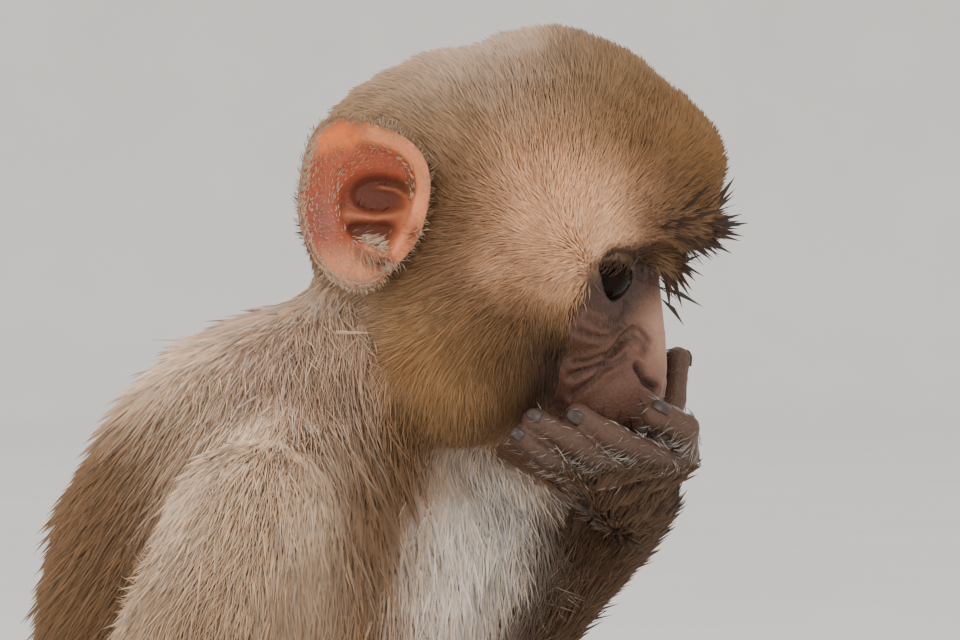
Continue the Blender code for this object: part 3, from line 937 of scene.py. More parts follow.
def ear_place(back, up, height, side):
    """Row places of the ear's surface. The front follows the head and the back stands out from it."""
    behind, above = back + EAR_MIDDLE[0], up + EAR_MIDDLE[1]
    root = np.hypot(behind, 6)
    flare, lean = (behind + root) / 2, EAR_SPREAD * (1 + behind / root) / 2
    forward = -(behind - (1 - math.cos(EAR_SPREAD)) * flare) + height * np.sin(lean)
    aside = math.sin(EAR_SPREAD) * flare + height * np.cos(lean)
    own = np.stack([forward, aside + 0.10 * above, above], axis=-1)
    own = own @ np.array(Matrix.Rotation(-HEAD_PITCH, 3, "Y")).T * [1, side, 1]
    return from_head(np.array(EAR_HINGE) * [1, side, 1] + own)


EAR_RIDGES = {  # height, half width and line of each ridge, as back and up from the middle of the ear
    "little_ridge": (1.7, 0.55, [(-6.6, 3.7), (-9.2, 3.1), (-11.5, 1.2)]),
    "middle_ridge": (1.4, 1.3, [(0.5, -2.8), (-5.0, -3.9), (-9.5, -2.4)]),
    "outer_fold": (1.3, 2.4, [(1.0, 11.0), (5.0, 8.0), (5.8, 0.0), (4.0, -8.0)]),
    "knob": (2.0, 1.1, [(-2.2, -10.4), (-4.8, -11.9), (-8.1, -12.2)]),
    "front_lip": (2.6, 2.2, [(-12.5, 0.0), (-12.0, -4.0), (-10.4, -8.0), (-9.4, -11.0)]),
}
EAR_PITS = {  # depth, middle and half sizes of each hollow
    "cup": (2.0, (-5.1, -1.3), (8.6, 9.4)),
    "upper_pit": (3.0, (-6.9, 1.8), (6.4, 4.6)),
    "lower_pit": (2.8, (-4.4, -6.7), (5.6, 2.5)),
    "small_pit": (1.6, (-6.1, -14.5), (1.5, 1.2)),
}


def ear_roll(angle, inward):
    """The rolled part of the rim, from the top of the ear to its front."""
    degrees = np.degrees(angle)
    return rise(degrees, 84, 104) * (1 - rise(degrees, 188, 212)) * (1 - rise(inward, 3.7, 5.2))


def ear_height(back, up, angle, share):
    """How far the cup of the ear stands out at a place, with its rolled rim, ridges and pits."""
    inward = (1 - share) * ear_reach(angle)
    height = np.interp(share, *np.array(EAR_DISH).T)
    height += 3.0 * ear_roll(angle, inward) * (0.5 + 0.5 * rise(inward, 0, 1.6)) + 0.5 * near(inward, 0.8, 0.7)
    places = np.stack([back, up], 1)
    for depth, middle, half_sizes in EAR_PITS.values():
        reach = np.linalg.norm((places - middle) / half_sizes, axis=1)
        height -= depth * (1 - rise(reach, 0.68, 1.1))
    for tall, width, line in EAR_RIDGES.values():
        height += tall * near(along_line(places, line)[0], 0, width)
    return height + 1.3 * blob(places, (-8.2, -9.4), (1.9, 1.9))


def ear_colours(back, up, angle, share):
    """The colour of the ear's skin over its cup, with painted shade in its pits, a painted highlight on its rim and
    ridges and a painted glow at its top.
    """
    inward = (1 - share) * ear_reach(angle)
    places = np.stack([back, up], 1)
    colour = np.tile(BARE["ear"], (len(back), 1))
    colour = blend(colour, BARE["ear_mauve"], 1.1 * blob(places, (8.2, -4.5), (4.6, 6.5)))
    # Painted glow: orange at the top, where light shines through the ear.
    colour = blend(colour, BARE["ear_top"], rise(up + 0.25 * back, 11.5, 15.5) * rise(back, -7, -1))
    colour = blend(colour, BARE["ear_low"], rise(-up, 8, 15) * rise(back, -8, -2) * 0.9)
    # Painted highlight: the rolled rim and the edge paler where they catch the light.
    colour = blend(colour, BARE["ear_rim"], ear_roll(angle, inward))
    colour = blend(colour, BARE["ear_rim"], near(inward, 0.4, 1.2) * 0.8)
    # Painted shade in the cup and the pits.
    for name, share_of in (("cup", 0.75), ("upper_pit", 0.75), ("lower_pit", 0.6), ("small_pit", 0.6)):
        _, middle, half_sizes = EAR_PITS[name]
        reach = np.linalg.norm((places - middle) / half_sizes, axis=1)
        colour = blend(colour, BARE["ear_deep"], share_of * (1 - rise(reach, 0.75, 1.05)))
    # Painted highlight on the ridges.
    for name, share_of in (("little_ridge", 0.5), ("middle_ridge", 0.45), ("knob", 0.9), ("front_lip", 1.0)):
        _, width, line = EAR_RIDGES[name]
        colour = blend(colour, BARE["ear_rim"], share_of * near(along_line(places, line)[0], 0, width))
    return colour


EAR_RINGS, EAR_SPOKES = 26, 96
EAR_CORNERS = EAR_RINGS * EAR_SPOKES  # on each side of the sheet


def strip(inner, outer):
    """The triangles between two closed rings of corners."""
    inner_next, outer_next = np.roll(inner, -1), np.roll(outer, -1)
    return np.concatenate([np.stack([inner, outer, outer_next], 1), np.stack([inner, outer_next, inner_next], 1)])


def ear_faces():
    """The triangles between the rings of one side of the ear, those that close its middle and those of the rim."""
    rings = np.arange(EAR_CORNERS).reshape(EAR_RINGS, EAR_SPOKES)
    bands = np.concatenate([strip(inner, outer) for inner, outer in zip(rings, rings[1:])])
    first = rings[0]
    middle = np.stack([np.full(EAR_SPOKES, first[0]), first, np.roll(first, -1)], 1)[1:-1]
    return bands, middle, strip(rings[-1], rings[-1] + EAR_CORNERS)


def make_ear(side):
    """The pinna as a closed sheet, its cup in front and a plain back, with the ground of the hair on each."""
    angle = np.linspace(0, math.tau, EAR_SPOKES, endpoint=False)
    share = np.concatenate([[0.03], np.linspace(0.08, 1, EAR_RINGS - 1)])
    turn, out = (grid.ravel() for grid in np.meshgrid(angle, share))
    reach = ear_reach(turn) * out
    back, up = reach * np.cos(turn), reach * np.sin(turn)
    front = ear_height(back, up, turn, out)
    wall = 1.2 + 1.0 * (1 - out)
    plain = np.interp(out, *np.array(EAR_DISH).T) - wall
    behind = np.minimum(plain, front - 1.0)
    behind = np.where(out > 0.985, front - 0.8, behind)
    points = np.concatenate([ear_place(back, up, height, side) for height in (front, behind)])
    bands, middle, rim = ear_faces()
    triangles = np.concatenate([bands, middle, bands + EAR_CORNERS, middle + EAR_CORNERS, rim])
    mesh = triangle_mesh("ear", points, triangles)
    form = bmesh.new()
    form.from_mesh(mesh)
    bmesh.ops.recalc_face_normals(form, faces=form.faces)
    form.to_mesh(mesh)
    form.free()
    plain_back = np.tile(BARE["ear_back"], (EAR_CORNERS, 1))
    keep_numbers(mesh, "marking", np.concatenate([ear_colours(back, up, turn, out), plain_back]))
    normals = unit(mesh_normals(mesh))
    places = np.stack([back, up], 1)
    away = unit(places + [0, 7])

    def hair_ground(rows, height, length, stand):
        """One side of the sheet, with its hair pointing away from the root of the ear."""
        ahead = ear_place(back + away[:, 0], up + away[:, 1], height, side) - points[rows]
        return Ground(points[rows], normals[rows], bands, unit(ahead), length, np.full(EAR_CORNERS, stand))

    length = 3.4 - 1.2 * (1 - rise(out, 0.7, 0.95)) + 2.2 * blob(places, (-3.5, -11), (3, 3))
    ground = hair_ground(slice(0, EAR_CORNERS), front, length, 0.7)
    degrees = np.degrees(turn)
    ground.rim = rise(out, 0.9, 0.98) * (1 - 0.7 * rise(degrees, 110, 140) * (1 - rise(degrees, 230, 250)))
    cup = np.linalg.norm((places - EAR_PITS["cup"][1]) / EAR_PITS["cup"][2], axis=1)
    ground.inside = rise(cup, 0.95, 1.15) * (1 - ear_roll(turn, (1 - out) * ear_reach(turn))) * (1 - ground.rim)
    ground.inside *= 1 - 0.8 * rise(up, 12, 15) * rise(back, 0, 3)
    ground.tuft = blob(places, (-2.5, -11.5), (2.6, 2.6))
    rear = hair_ground(slice(EAR_CORNERS, None), behind, 5.2 - 2.6 * rise(out, 0.6, 1), 0.2)
    rear.middle = 1 - 0.9 * rise(out, 0.72, 0.95)
    return mesh, ground, rear


# ---------------------------------------------------------------- the hand at the mouth

HAND_CHAINS = {  # each bone's ends from the wrist to the tip, with the radius there
    "thumb": [(108, 4, 169, 5.2), (114, 8, 181, 4.2), (118, 10, 193, 3.5), (119, 10.5, 202.6, 3.4)],
    "index": [(113, -3, 170, 5.6), (119.5, -12, 180, 4.3), (119.5, -20.5, 186.5, 3.9), (112.4, -24.5, 190, 3.6)],
    "middle": [(111, -10, 169, 5.6), (112.5, -24, 179.5, 3.9), (102.5, -29.5, 184.6, 3.7), (94, -29.5, 189.6, 3.4)],
    "ring": [(107, -16, 167, 5.2), (103, -28, 175.5, 3.8), (92.5, -32, 184, 3.5), (84, -31, 188.6, 3.3)],
    "little": [(102, -18, 164, 4.8), (96, -30, 171.5, 3.5), (87.5, -33, 179, 3.1), (80.5, -31.5, 185, 2.8)],
    "palm": [(90, 12, 148, 12.5), (101, 3, 160, 13.0), (108, -4, 168, 9.5), (105, -13, 166, 8.5)],
    "heel": [(101, 3, 160, 13.0), (111, 2, 168, 9.5)],
    "knuckles": [(119, -12, 179, 4.4), (112.5, -23, 178.5, 4.3), (103.5, -27, 174.5, 4.2), (96.5, -29, 170.8, 3.8)],
    "hand_back": [(115, -8, 174, 5.6), (110, -17, 173, 5.6), (104, -21.5, 170.5, 5.5), (98, -23, 167.5, 4.8)],
}


def make_hand():
    """The held-up hand: balls strung along its bones, swollen at the joints, as one mesh."""
    form = bmesh.new()
    for chain in HAND_CHAINS.values():
        for first, second in zip(chain, chain[1:]):
            start, end = Vector(first[:3]), Vector(second[:3])
            steps = max(2, round((end - start).length / 1.1))
            for step in range(steps + 1):
                share = step / steps
                radius = first[3] + (second[3] - first[3]) * share
                radius *= 1 - 0.09 * math.sin(math.pi * share) * (first[3] < 5)
                place = Matrix.Translation(start.lerp(end, share) * MM)
                bmesh.ops.create_icosphere(form, subdivisions=2, radius=radius * MM, matrix=place)
    return finished_mesh(form, "held_hand")


# ---------------------------------------------------------------- nails

NAILS = {  # each finger's or toe's last two joints and the one before, with the radius at its tip
    "hand_left": {
        "thumb": ((112, 5, 181), (118, 10, 193), (119, 10.5, 202.6), 3.4),
        "index": ((119.5, -12, 180), (119.5, -20.5, 186.5), (112.4, -24.5, 190), 3.6),
        "middle": ((112.5, -24, 179.5), (102.5, -29.5, 184.6), (94, -29.5, 189.6), 3.4),
        "ring": ((103, -28, 175.5), (92.5, -32, 184), (84, -31, 188.6), 3.3),
        "little": ((96, -30, 171.5), (87.5, -33, 179), (80.5, -31.5, 185), 2.8),
    },
    "hand_right": {
        "thumb": ((54, -76, 5), (58, -72, 3), (63, -71, 2.8), 3.8),
        "index": ((72, -82, 7), (80, -80.5, 4), (86, -80.5, 2.6), 3.8),
        "middle": ((76, -89.5, 7), (84, -89.5, 4), (91, -89.5, 2.6), 3.8),
        "ring": ((73, -98, 7), (81, -99, 4), (88, -99.5, 2.6), 3.8),
        "little": ((66, -106, 6), (73, -108, 3.5), (78, -109, 2.4), 3.4),
    },
}
TOES = {  # in the frame of a foot, from its heel forwards, with y to the inside
    "great": ((47, 18, 6), (54, 21, 4), (60, 24, 3), 4.2),
    "second": ((79, 7, 6), (87, 7, 4), (93, 7, 2.6), 3.8),
    "third": ((84, -2, 6), (92, -2.5, 4), (99, -2.5, 2.6), 3.8),
    "fourth": ((81, -11, 6), (89, -12, 4), (96, -12.5, 2.6), 3.8),
    "fifth": ((72, -20, 5.5), (80, -21.5, 3.5), (85, -23, 2.4), 3.4),
}
FEET = {"foot_right": ((86, -45), -6, -1), "foot_left": ((86, 54), 12, 1)}


def toe_places(foot):
    (x, y), turn, side = FEET[foot]
    turned = Matrix.Translation((x, y, 0)) @ Matrix.Rotation(math.radians(turn), 4, "Z")
    heel = turned @ Matrix.Diagonal((1, -side, 1, 1))
    return {name: (*(tuple(heel @ Vector(place)) for place in toe[:3]), toe[3]) for name, toe in TOES.items()}


NAIL_SPREAD = 0.44  # half the angle that a nail spans round its finger
NAIL_START, NAIL_RUN = -0.35, 1.15  # where it starts behind the middle of the tip, and how far it runs over it


def nail_points(joints, radius):
    """A grid of points for a nail: curved over the tip of its finger, longer than it is wide."""
    before, knuckle, tip = (np.array(place, float) for place in joints)
    ahead = tip - knuckle
    ahead /= np.linalg.norm(ahead)
    back = knuckle - before
    up = back - ahead * (back @ ahead)
    if np.linalg.norm(up) < 0.25 * np.linalg.norm(back) or tip[2] < 8:
        up = np.array([0, 0, 1.0]) - ahead * ahead[2]
    up /= np.linalg.norm(up)
    side = np.cross(up, ahead)
    across, length = np.meshgrid(np.linspace(-1, 1, 9), np.linspace(0, 1, 9))
    round_off = np.sqrt(np.clip(1 - (np.clip(length - 0.55, 0, 1) / 0.5) ** 2, 0.05, 1))
    angle = across * NAIL_SPREAD * round_off
    way = NAIL_START + NAIL_RUN * length
    over = radius * (1.02 + 0.05 * length) * np.cos(np.clip(way, 0, 2))
    forward = radius * np.where(way > 0, 1.06 * np.sin(way), way)
    places = tip + forward[..., None] * ahead
    places = places + (over * np.sin(angle))[..., None] * side + (over * np.cos(angle))[..., None] * up
    return places * MM


def make_nails(name, joints):
    form = bmesh.new()
    for *places, radius in joints.values():
        grid = nail_points(places, radius)
        rows = [[form.verts.new(point) for point in row] for row in grid]
        for first, second in zip(rows, rows[1:]):
            for left in range(len(first) - 1):
                form.faces.new((first[left], first[left + 1], second[left + 1], second[left]))
    return finished_mesh(form, name)


# ---------------------------------------------------------------- the coat


LOWEST_HAIR = 0.0006  # no tuft comes closer to the floor than this, in metres
BEND = 0.45  # how far along its length a tuft bends
SWIRL = 6.0  # the size of the swirls that the tufts gather in
STAND_RANGE = (0.6, 1.4)  # how much the tufts of a piece differ in how far they stand off the skin,
LENGTH_RANGE = (0.7, 1.12)  # in their length
WIDTH_RANGE = (0.7, 1.3)  # and in their width


class Coat:
    """Seeded hair tufts on the form: where they root, how they lie and what colour they are."""

    def __init__(self, form, seed):
        self.form = form
        self.random = np.random.default_rng(seed)

    def scatter(self, weight, count):
        """Rooting places on the form, drawn by the weight of each of its corners."""
        form = self.form
        corners = form.points[form.triangles]
        area = np.linalg.norm(np.cross(corners[:, 1] - corners[:, 0], corners[:, 2] - corners[:, 0]), axis=1)
        chance = area * weight[form.triangles].mean(1)
        total = np.cumsum(chance)
        picks = np.sort((np.arange(count) + self.random.random(count)) / count) * total[-1]
        faces = np.searchsorted(total, picks).clip(0, len(chance) - 1)
        shares = self.random.dirichlet((1, 1, 1), count)
        return faces, shares

    def at(self, values, faces, shares):
        """A quantity of the form's corners at the rooting places."""
        corners = values[self.form.triangles[faces]]
        weights = shares if corners.ndim == 2 else shares[..., None]
        return (corners * weights).sum(1)

    def laid(self, tips, heights):
        """The tips moved so that long hair bends with the skin and does not sink into it. Gives the skin's
        normals there as well."""
        feet, ahead = self.form.feet(tips)
        gap = ((tips - feet) * ahead).sum(1)
        high, low = 1.25 * np.clip(heights, 0, None) + 0.5 * MM, 0.35 * MM
        return tips + ahead * (np.clip(gap, low, high) - gap)[:, None], ahead

    def grow(self, name, weight, count, length, width, stand=1.0, spread=0.2, clump=0.0, tone=0.2, tint=None,
             unwrap=None, sink=0.4):
        """One piece of coat. length and width are in millimetres, length for each corner of the form.
        stand says how much more or less than usual the tufts stand off the skin."""
        random = self.random

        # Where each tuft roots, and the way that it lies on the skin.
        faces, shares = self.scatter(weight, count)
        roots = self.at(self.form.points, faces, shares)
        normals = unit(self.at(self.form.normals, faces, shares))
        lie = unit(self.at(self.form.lie, faces, shares)) + random.normal(0, spread, (count, 3))
        if clump:
            lie = lie + clump * wave(roots, SWIRL, random)
        up = (lie * normals).sum(1)
        lie = unit(lie - normals * np.where(up < 0, up, 0.65 * up)[:, None])

        # Two straight lengths, the second flatter, then the tip laid along the skin that it reaches.
        lift = self.at(self.form.stand, faces, shares) * stand * random.uniform(*STAND_RANGE, count)
        long = self.at(length, faces, shares) * random.uniform(*LENGTH_RANGE, count)
        wide = width * random.uniform(*WIDTH_RANGE, count)
        middle = roots + unit(lie + normals * (lift * 1.5)[:, None]) * (BEND * long)[:, None] * MM
        tips = middle + unit(lie + normals * (lift * 0.6)[:, None]) * ((1 - BEND) * long)[:, None] * MM
        rest, beyond = self.laid(tips, ((tips - roots) * normals).sum(1))
        middle = middle + 0.35 * (rest - tips)
        tips = rest
        bases = roots - normals * sink * MM

        # The four corners of each spindle, all turned the same way out, without those that reach the floor.
        side = np.cross(tips - bases, normals + random.normal(0, 0.3, normals.shape))
        side = unit(side) * (0.5 * wide * MM)[:, None]
        over = unit(np.cross(side, tips - bases)) * (0.2 * wide * MM)[:, None]
        keep = np.minimum(tips[:, 2], middle[:, 2]) > LOWEST_HAIR
        rings = np.stack([bases, middle - side + over, middle + side + over, tips], axis=1)[keep]
        first, second, third = (rings[:, corner] - rings[:, 0] for corner in (1, 2, 3))
        turned = (np.cross(first, second) * third).sum(1) > 0
        rings[turned] = rings[turned][:, [0, 2, 1, 3]]

        roots, faces, shares = roots[keep], faces[keep], shares[keep]
        colour = tuft_colours(self, roots, faces, shares, tone, tint)
        half = unit(normals + beyond)
        skin = np.stack([normals, half, half, unit(normals + 2 * beyond)], axis=1)[keep]
        return tuft_mesh(name, rings, colour, unwrap(roots), skin)


TUFT_FACES = np.array([[0, 1, 2], [3, 2, 1], [0, 3, 1], [0, 2, 3]])
TUFT_PATCH = np.array([[0.5, 0], [0.1, 0.45], [0.9, 0.45], [0.5, 1]]) - 0.5
PATCH_SIZE = 0.003


def tuft_mesh(name, rings, colour, places, skin):
    """Closed spindles with a bend in them, shaded with the skin that they lie on, each with a small patch of
    its own in the OFBake map."""
    count = len(rings)
    triangles = (np.arange(count)[:, None, None] * 4 + TUFT_FACES).reshape(-1, 3)
    mesh = triangle_mesh(name, rings.reshape(-1, 3), triangles)
    keep_numbers(mesh, "marking", colour.reshape(-1, 3))
    aside = unit(rings[:, 2] - rings[:, 1])[:, None] * np.array([0, -0.4, 0.4, 0])[:, None]
    mesh.normals_split_custom_set_from_vertices(unit(skin + aside).reshape(-1, 3))
    spots = np.clip(places, 0.002, 0.998)[:, None, :] + TUFT_PATCH * PATCH_SIZE
    layer = mesh.uv_layers.new(name="OFBake")
    layer.data.foreach_set("uv", spots[:, TUFT_FACES.ravel()].reshape(-1).astype(np.float32))
    return mesh


def wave(points, size, random):
    """A smooth field of directions whose swirls are about size millimetres across."""
    turns = random.normal(0, 1, (3, 3, 6)) / size
    phases = random.uniform(0, math.tau, (3, 6))
    field = [np.sin((points / MM) @ turns[axis] + phases[axis]).mean(1) for axis in range(3)]
    return np.stack(field, axis=1)


TUFT_TONES = (0.76, 0.98, 0.98, 1.08)  # of a tuft's base, its two middle corners and its tip


def tuft_colours(coat, roots, faces, shares, tone, tint):
    """The colours of the corners of each tuft: darker at its root, lighter at its tip."""
    base = coat.at(coat.form.tone, faces, shares) if tint is None else np.tile(tint, (len(roots), 1))
    random = coat.random
    shade = np.exp(random.normal(0, tone, len(roots)))[:, None]
    warm = random.normal(0, 0.05, len(roots))[:, None] * np.array([1, 0.1, -1.0])
    own = np.clip(base * shade * (1 + warm), 0.004, 0.95)
    return np.stack([own * share for share in TUFT_TONES], axis=1)


def round_head(points):
    """An unwrap of the head: its turn about its own axis and its height."""
    head = to_head(points)
    turn = np.arctan2(head[:, 1], head[:, 0]) / math.tau + 0.5
    height = np.arctan2(head[:, 2], np.hypot(head[:, 0], head[:, 1])) / math.pi + 0.5
    return np.stack([turn, height], axis=1)


def round_part(middle, axis, half_length):
    """An unwrap of a long part: its turn about its axis and the way along it."""
    axis = np.array(axis, float) / np.linalg.norm(axis)
    other = np.cross(axis, [0.3, 1, 0.2])
    other /= np.linalg.norm(other)
    third = np.cross(axis, other)

    def unwrap(points):
        offset = points - np.array(middle)
        turn = np.arctan2(offset @ other, offset @ third) / math.tau + 0.5
        return np.stack([turn, offset @ axis / half_length / 2 + 0.5], axis=1)

    return unwrap


def part_unwrap(name):
    low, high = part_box(name)
    axis = part_axis(name) if name in NEXT_PART else np.array([0, 0, 1.0])
    return round_part(node_middle(name), axis, (high - low).length / 2 + 0.01)


# ---------------------------------------------------------------- finishes


def skin_finish():
    shade = Shade("bare_skin", 0.5, Specular_IOR_Level=0.24, Subsurface_Weight=0.06, Subsurface_Scale=0.0015)
    marking = shade.attribute("marking", colour=True)
    mottle = shade.noise(0.004) * 0.5 + shade.noise(0.0012) * 0.4
    deep = shade.mix(1.0, marking, (0.62, 0.52, 0.48, 1), "MULTIPLY")
    pale = shade.mix(1.0, marking, (0.26, 0.17, 0.13, 1), "ADD")
    colour = shade.mix(mottle * 0.9, marking, deep)
    shade.base(shade.mix(shade.noise(0.0007, 1.0) * 0.16, colour, pale))
    pores = shade.noise(0.0006, 4.0)
    cells = shade.add("ShaderNodeTexVoronoi", {"feature": "DISTANCE_TO_EDGE"},
                      {"Vector": shade.place(), "Scale": 900.0})
    shade.bump(cells * 0.5 + pores * 0.5 + shade.noise(0.0025) * 0.6, 0.00035, 0.8)
    shade.rough(shade.noise(0.002) * 0.25 + 0.40)
    return shade.material


def hair_finish():
    shade = Shade("coat", 0.5, Specular_IOR_Level=0.2, Sheen_Weight=0.06, Sheen_Roughness=0.5)
    marking = shade.attribute("marking", colour=True)
    patchy = shade.noise(0.006)
    shade.base(shade.mix(patchy * 0.35, marking, shade.mix(1.0, marking, (0.62, 0.58, 0.55, 1), "MULTIPLY")))
    shade.rough(shade.noise(0.0015, 1.0) * 0.25 + 0.42)
    return shade.material


PUPIL = (0.002, 0.002, 0.002)


def eye_finish():
    shade = Shade("eye", 0.1, Specular_IOR_Level=0.5, IOR=1.13)
    gaze = shade.attribute("gaze")
    colour = shade.ramp(gaze, (0.0, PUPIL), (0.20, PUPIL), (0.235, (0.007, 0.003, 0.002)),
                        (0.40, (0.008, 0.004, 0.002)), (0.47, (0.003, 0.002, 0.001)), (0.56, (0.004, 0.002, 0.002)),
                        (1.0, (0.006, 0.003, 0.002)))
    streaks = shade.noise(0.0008, 2.0)
    shade.base(shade.mix(streaks * 0.4, colour, (0.006, 0.003, 0.002, 1)))
    shade.rough(gaze * 0.15 + 0.05)
    return shade.material


def nail_finish():
    shade = Shade("nail", 0.35, Specular_IOR_Level=0.5)
    ends = shade.ramp(shade.noise(0.003), (0.3, (0.018, 0.010, 0.007)), (0.7, (0.036, 0.021, 0.015)))
    shade.base(ends)
    shade.bump(shade.noise(0.0008, 2.0), 0.0001, 0.6)
    shade.rough(shade.noise(0.0015) * 0.2 + 0.28)
    return shade.material


def floor_finish():
    shade = Shade("floor", 0.8)
    shade.base(shade.ramp(shade.noise(0.2), (0.3, (0.82, 0.81, 0.79)), (0.7, (0.86, 0.85, 0.83))))
    return shade.material


# ---------------------------------------------------------------- settings

made = {}


class MacaqueCoatSettings(bpy.types.PropertyGroup):
    """How much hair the animal has and how it stands."""

    fullness: bpy.props.FloatProperty(
        name="Fullness", description="How many tufts grow, as a share of the usual number",
        default=1.0, min=0.02, max=1.5)
    length: bpy.props.FloatProperty(
        name="Length", description="The length of the tufts, as a share of the usual length",
        default=1.0, min=0.3, max=1.3)
    width: bpy.props.FloatProperty(
        name="Tuft width", description="The width of the tufts, as a share of the usual width",
        default=1.0, min=0.3, max=2.0)
    tone: bpy.props.FloatProperty(
        name="Speckle", description="How much the tufts differ in tone", default=0.12, min=0.0, max=0.8)
    seed: bpy.props.IntProperty(name="Seed", description="Which of the possible coats grows", default=11, min=0)


class MacaqueSkinSettings(bpy.types.PropertyGroup):
    """How fine the skin's mesh is."""

    grain: bpy.props.FloatProperty(
        name="Grain", description="The size of the skin's faces before the face and hand are refined",
        default=0.00112, min=0.0008, max=0.004, subtype="DISTANCE", unit="LENGTH", precision=5)
    furred_share: bpy.props.FloatProperty(
        name="Furred share", description="The share of its faces that the skin keeps under the coat",
        default=0.13, min=0.1, max=1.0)
    kept_share: bpy.props.FloatProperty(
        name="Kept share", description="The share of its faces that the shaped skin keeps",
        default=0.7, min=0.3, max=1.0)
    eye_bulge: bpy.props.FloatProperty(
        name="Cornea", description="How far the front of the eye bulges", default=0.0005, min=0.0, max=0.002,
        subtype="DISTANCE", unit="LENGTH", precision=5)


class MacaqueStageSettings(bpy.types.PropertyGroup):
    """The floor, the lights and the camera."""

    backdrop: bpy.props.FloatVectorProperty(
        name="World", description="The colour of the light from all round", subtype="COLOR",
        default=(1.0, 0.965, 0.93))
    light: bpy.props.FloatProperty(
        name="Light", description="The strength of the lamps", default=1.0, min=0.0, max=5.0)


# ---------------------------------------------------------------- operators


LAMPS = {  # place, aim, size, watts
    "top_back": ((-0.30, 0.35, 1.15), (0.03, 0, 0.22), 0.9, 14),
    "front_left": ((0.75, -1.15, 0.95), (0.05, 0, 0.22), 0.8, 12),
    "front_right": ((-0.9, -1.0, 0.55), (0.05, 0, 0.2), 1.0, 5.5),
}
LAMP_COLOUR = (1.0, 0.93, 0.84)
DAYLIGHT = 1.15  # the strength of the light from all round
CAMERA_AT = (0.0712, -1.28, 0.2122)
LENS_MM, SENSOR_MM = 200, 36
FLOOR_SIZE = 18


class MACAQUE_OT_stage(bpy.types.Operator):
    """Add the floor with its curved back, the soft lights and the camera"""

    bl_idname = "macaque.stage"
    bl_label = "Stage"

    def execute(self, context):
        settings = context.scene.macaque_stage
        self.add_floor(context)
        self.add_daylight(context, settings.backdrop)
        self.add_lamps(context, settings.light)
        self.add_camera(context)
        return {"FINISHED"}

    def add_floor(self, context):
        """A floor whose far edge rises in a wide curve."""
        bpy.ops.mesh.primitive_plane_add(size=FLOOR_SIZE, location=(0, 0, 0))
        floor = context.object
        floor.name = "floor"
        floor.data.name = "floor"
        bpy.ops.object.mode_set(mode="EDIT")
        bpy.ops.mesh.select_all(action="DESELECT")
        bpy.ops.object.mode_set(mode="OBJECT")
        for edge in floor.data.edges:
            edge.select = all(floor.data.vertices[corner].co.y > 8 for corner in edge.vertices)
        bpy.ops.object.mode_set(mode="EDIT")
        bpy.ops.mesh.select_mode(type="EDGE")
        bpy.ops.mesh.extrude_region_move(TRANSFORM_OT_translate={"value": (0, 0.8, 0)})
        bpy.ops.mesh.extrude_region_move(TRANSFORM_OT_translate={"value": (0, 0, 7)})
        bpy.ops.object.mode_set(mode="OBJECT")
        apply_modifier(floor, "BEVEL", width=0.7, segments=12, angle_limit=math.radians(60))
        bpy.ops.object.shade_smooth()
        floor.data.materials.append(floor_finish())

    def add_daylight(self, context, colour):
        world = bpy.data.worlds.new("daylight")
        context.scene.world = world
        world.use_nodes = True
        background = world.node_tree.nodes["Background"]
        background.inputs["Color"].default_value = (*colour, 1)
        background.inputs["Strength"].default_value = DAYLIGHT

    def add_lamps(self, context, strength):
        for name, (place, aim, size, power) in LAMPS.items():
            bpy.ops.object.light_add(type="AREA", location=place)
            lamp = context.object
            lamp.name = name
            lamp.data.size = size
            lamp.data.energy = power * strength
            lamp.data.color = LAMP_COLOUR
            lamp.rotation_euler = (Vector(aim) - Vector(place)).to_track_quat("-Z", "Y").to_euler()

    def add_camera(self, context):
        bpy.ops.object.camera_add(location=CAMERA_AT, rotation=(math.radians(90), 0, 0))
        camera = context.object
        camera.data.lens = LENS_MM
        camera.data.sensor_width = SENSOR_MM
        context.scene.camera = camera


